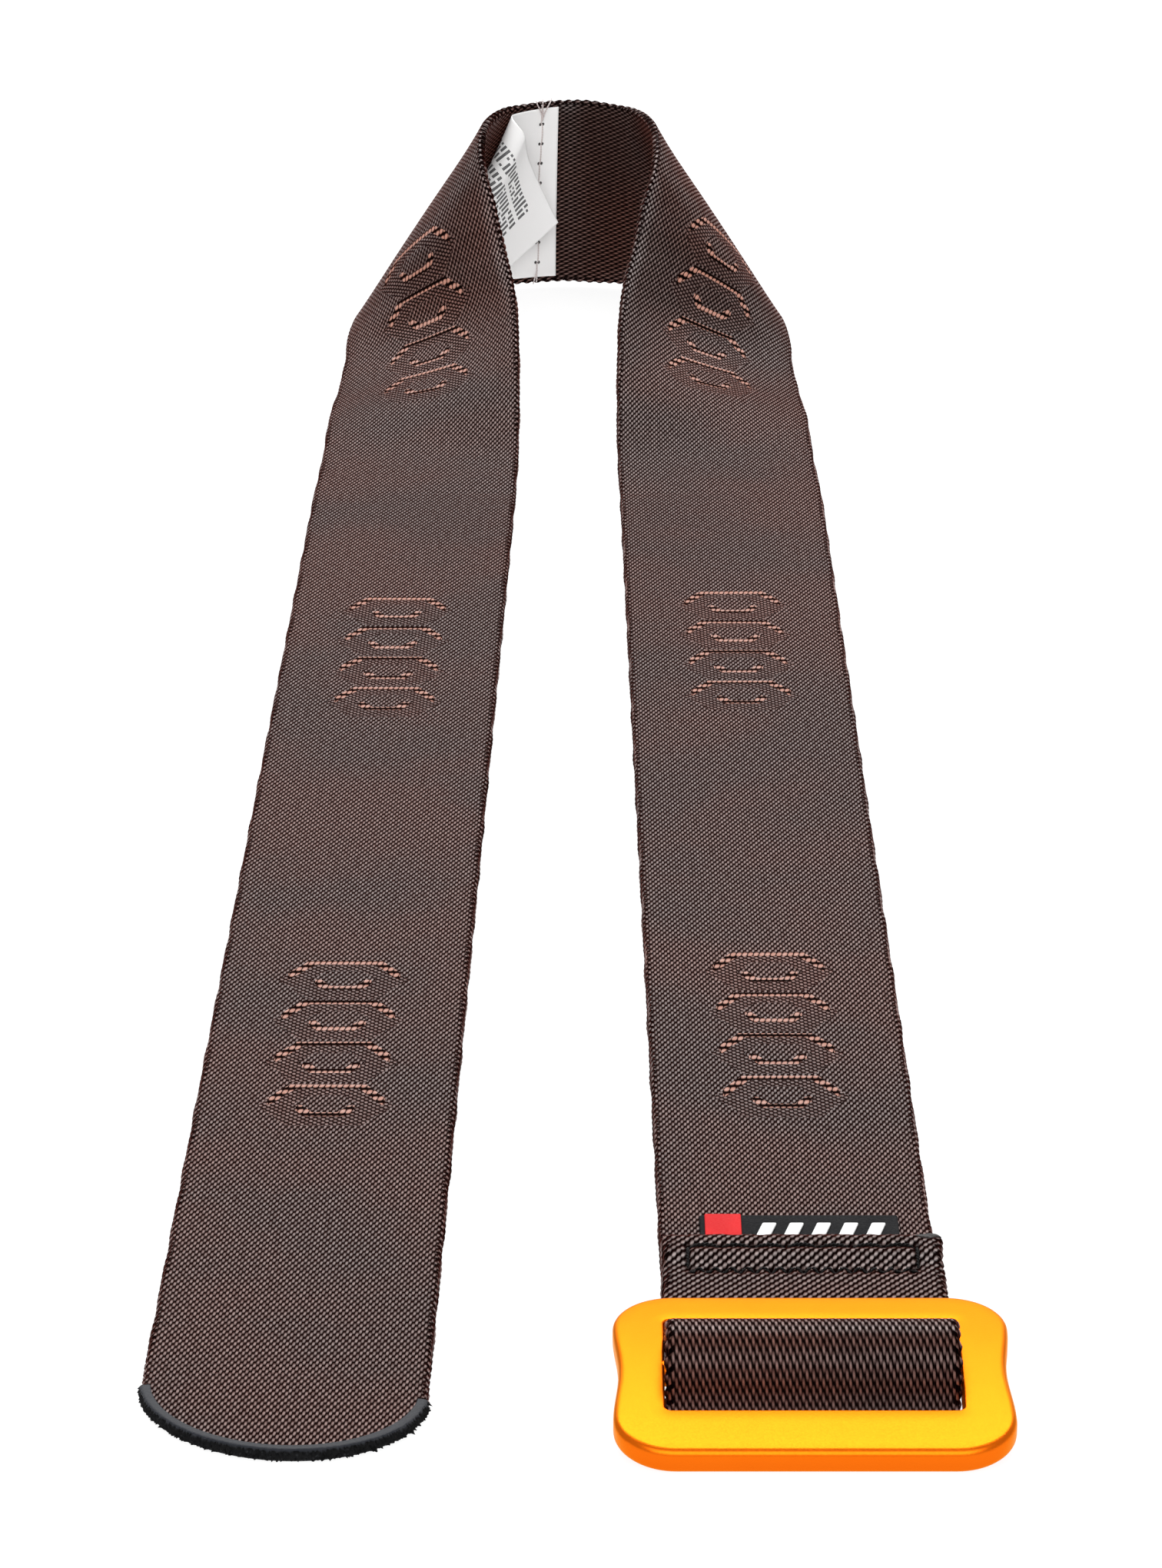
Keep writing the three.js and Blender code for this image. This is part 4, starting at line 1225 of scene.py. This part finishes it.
# %% Make the label
def make_label():
    length, up = np.meshgrid(
        np.linspace(0, label_length, 110), np.linspace(0, label_width, 90), indexing="ij")
    seam = np.exp(-((length - label_stitch_inset) / 0.7) ** 2)
    holes = (0.5 + 0.5 * np.cos(2 * np.pi * (up - label_hole_first) / label_hole_pitch)) ** 8
    dent = 0.16 * seam * (0.35 + holes)
    wave = 0.10 * np.sin(up / 3.4) * np.exp(-((length - label_stitch_inset) / 3.5) ** 2)
    sides = []
    for side in (0.5, -0.5):
        sides.append(label_surface(length, up, side * label_thick - dent + wave * 0.5))
    rows, columns = length.shape
    points = np.concatenate([sides[0], sides[1][:, ::-1]], axis=1)
    ring_uv = np.stack([
        np.concatenate([length, length], 1), np.concatenate([up, up[:, ::-1]], 1)], -1) * mm
    printed = np.concatenate([np.zeros_like(up), np.ones_like(up)], 1)
    return make_piece(
        "care_ribbon", points.reshape(-1, 3), grid_faces(rows, 2 * columns), satin_label,
        replaced=["care_label"], uv=ring_uv.reshape(-1, 2), marks={"printed": printed.ravel()})


label = make_label()

# %% [markdown]
# ## The label's seam
# One line of pale thread holds the label on. It shows as long stitches up the label, with three cut tails
# splayed over the strap's upper edge and one hanging over its lower edge.

# %% Make the seam
seam_left = label_start + label_stitch_inset
label_thread_radius = 0.15


def seam_paths():
    over = label_gap + label_thick + 0.16
    holes = np.arange(label_hole_first - label_hole_pitch, label_width + 2, label_hole_pitch) + label_foot
    holes = np.clip(holes, 0.4, strap_width - 0.6)
    paths = []
    for low, high in zip(holes, holes[1:]):
        share = np.linspace(0, 1, 16)
        arch = np.sin(math.pi * share) ** 0.5
        up = low + share * (high - low)
        drift = 0.18 * np.sin(low)
        paths.append(inner_face(np.full(16, seam_left + drift), up, over - 0.35 * (1 - arch)))
    return paths


def tail_paths():
    """Free ends: each leaves its hole and curves away over the strap's edge."""
    share = np.linspace(0, 1, 22)
    off = label_gap + label_thick + 0.2
    ends = []
    for lean, reach in ((-2.2, 1.6), (-0.4, 2.0), (1.9, 1.7)):
        up = strap_width - 4.0 + share * 4.2
        base = inner_face(seam_left - lean * share**1.6, np.minimum(up, strap_width), off + 0.25 * share)
        base[:, 2] += np.maximum(up - strap_width, 0)
        base[:, 1] += reach * np.clip(share - 0.86, 0, 1) * 4
        ends.append(base)
    low = inner_face(seam_left + 0.9 * share, 3.0 - 2.9 * share, off + 0.15 * share)
    return ends + [low]


label_thread = make_thread(
    "label_stitches", seam_paths() + tail_paths(), label_thread_radius, grey_thread,
    replaced=["care_label_thread"])

# %% [markdown]
# ## What is cloth
# The strap and the label are sheets: they were cut flat, and they can't be longer or wider than they
# were cut.

# %% [markdown]
# ## Floor and light
# The belt lies on a white sweep that glows a little, so that it stays white. A wide softbox stands behind
# the belt and leans over it, and a low strip stands behind that: they give the metal and the yarns their
# shine. A large, weak one in front fills the shadows.

# %% Make the floor and the lights
def make_floor():
    half, far = 3.0, 6.0
    mesh = bpy.data.meshes.new("floor")
    corners = [(-half, -half, 0), (half, -half, 0), (half, far, 0), (-half, far, 0)]
    mesh.from_pydata(corners, [], [(0, 1, 2, 3)])
    material, tree, shader = new_finish(
        "white_sweep", Roughness=0.9, Specular_IOR_Level=0.1,
        Emission_Color=(1, 1, 1, 1), Emission_Strength=0.9)
    place = add_node(tree, "ShaderNodeTexCoord").outputs["Object"]
    rough = use_group(tree, grain, Place=place, Fine_size=3.0, Slow_size=400.0)
    colour = blend_colours(tree, rough["Slow"], (0.12, 0.12, 0.12), (0.15, 0.15, 0.15))
    tree.links.new(colour, shader.inputs["Base Color"])
    mesh.materials.append(material)
    floor = bpy.data.objects.new("floor", mesh)
    bpy.context.scene.collection.objects.link(floor)
    floor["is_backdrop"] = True


def softbox(name, place, aim, size, radiance):
    """An area light that faces aim. Its power follows from its size and how bright its face is."""
    data = bpy.data.lights.new(name, "AREA")
    data.shape = "RECTANGLE"
    data.size, data.size_y = size
    data.energy = radiance * math.pi * size[0] * size[1]
    light = bpy.data.objects.new(name, data)
    light.location = place
    light.rotation_euler = (Vector(aim) - Vector(place)).to_track_quat("-Z", "Y").to_euler()
    bpy.context.scene.collection.objects.link(light)


make_floor()
softbox("back_softbox", (0, 1.15, 1.8), (0, -0.2, 0), (2.2, 1.1), 5.2)
softbox("back_strip", (0, 1.6, 0.75), (0, -0.1, 0), (2.6, 0.5), 1.8)
softbox("front_fill", (0, -1.6, 1.2), (0, 0, 0), (2.4, 1.4), 2.5)
world = bpy.data.worlds.new("studio")
world.use_nodes = True
world.node_tree.nodes["Background"].inputs["Color"].default_value = (1, 1, 1, 1)
world.node_tree.nodes["Background"].inputs["Strength"].default_value = 0.55
bpy.context.scene.world = world
bpy.context.scene.view_settings.view_transform = "Standard"

# %% [markdown]
# ## Measure and finish
# The finished model must be the size of the mechanical one, so the size of its box is printed.

# %% Finish
low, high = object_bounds()
print("size", [round(1000 * side, 1) for side in high - low], "mm")
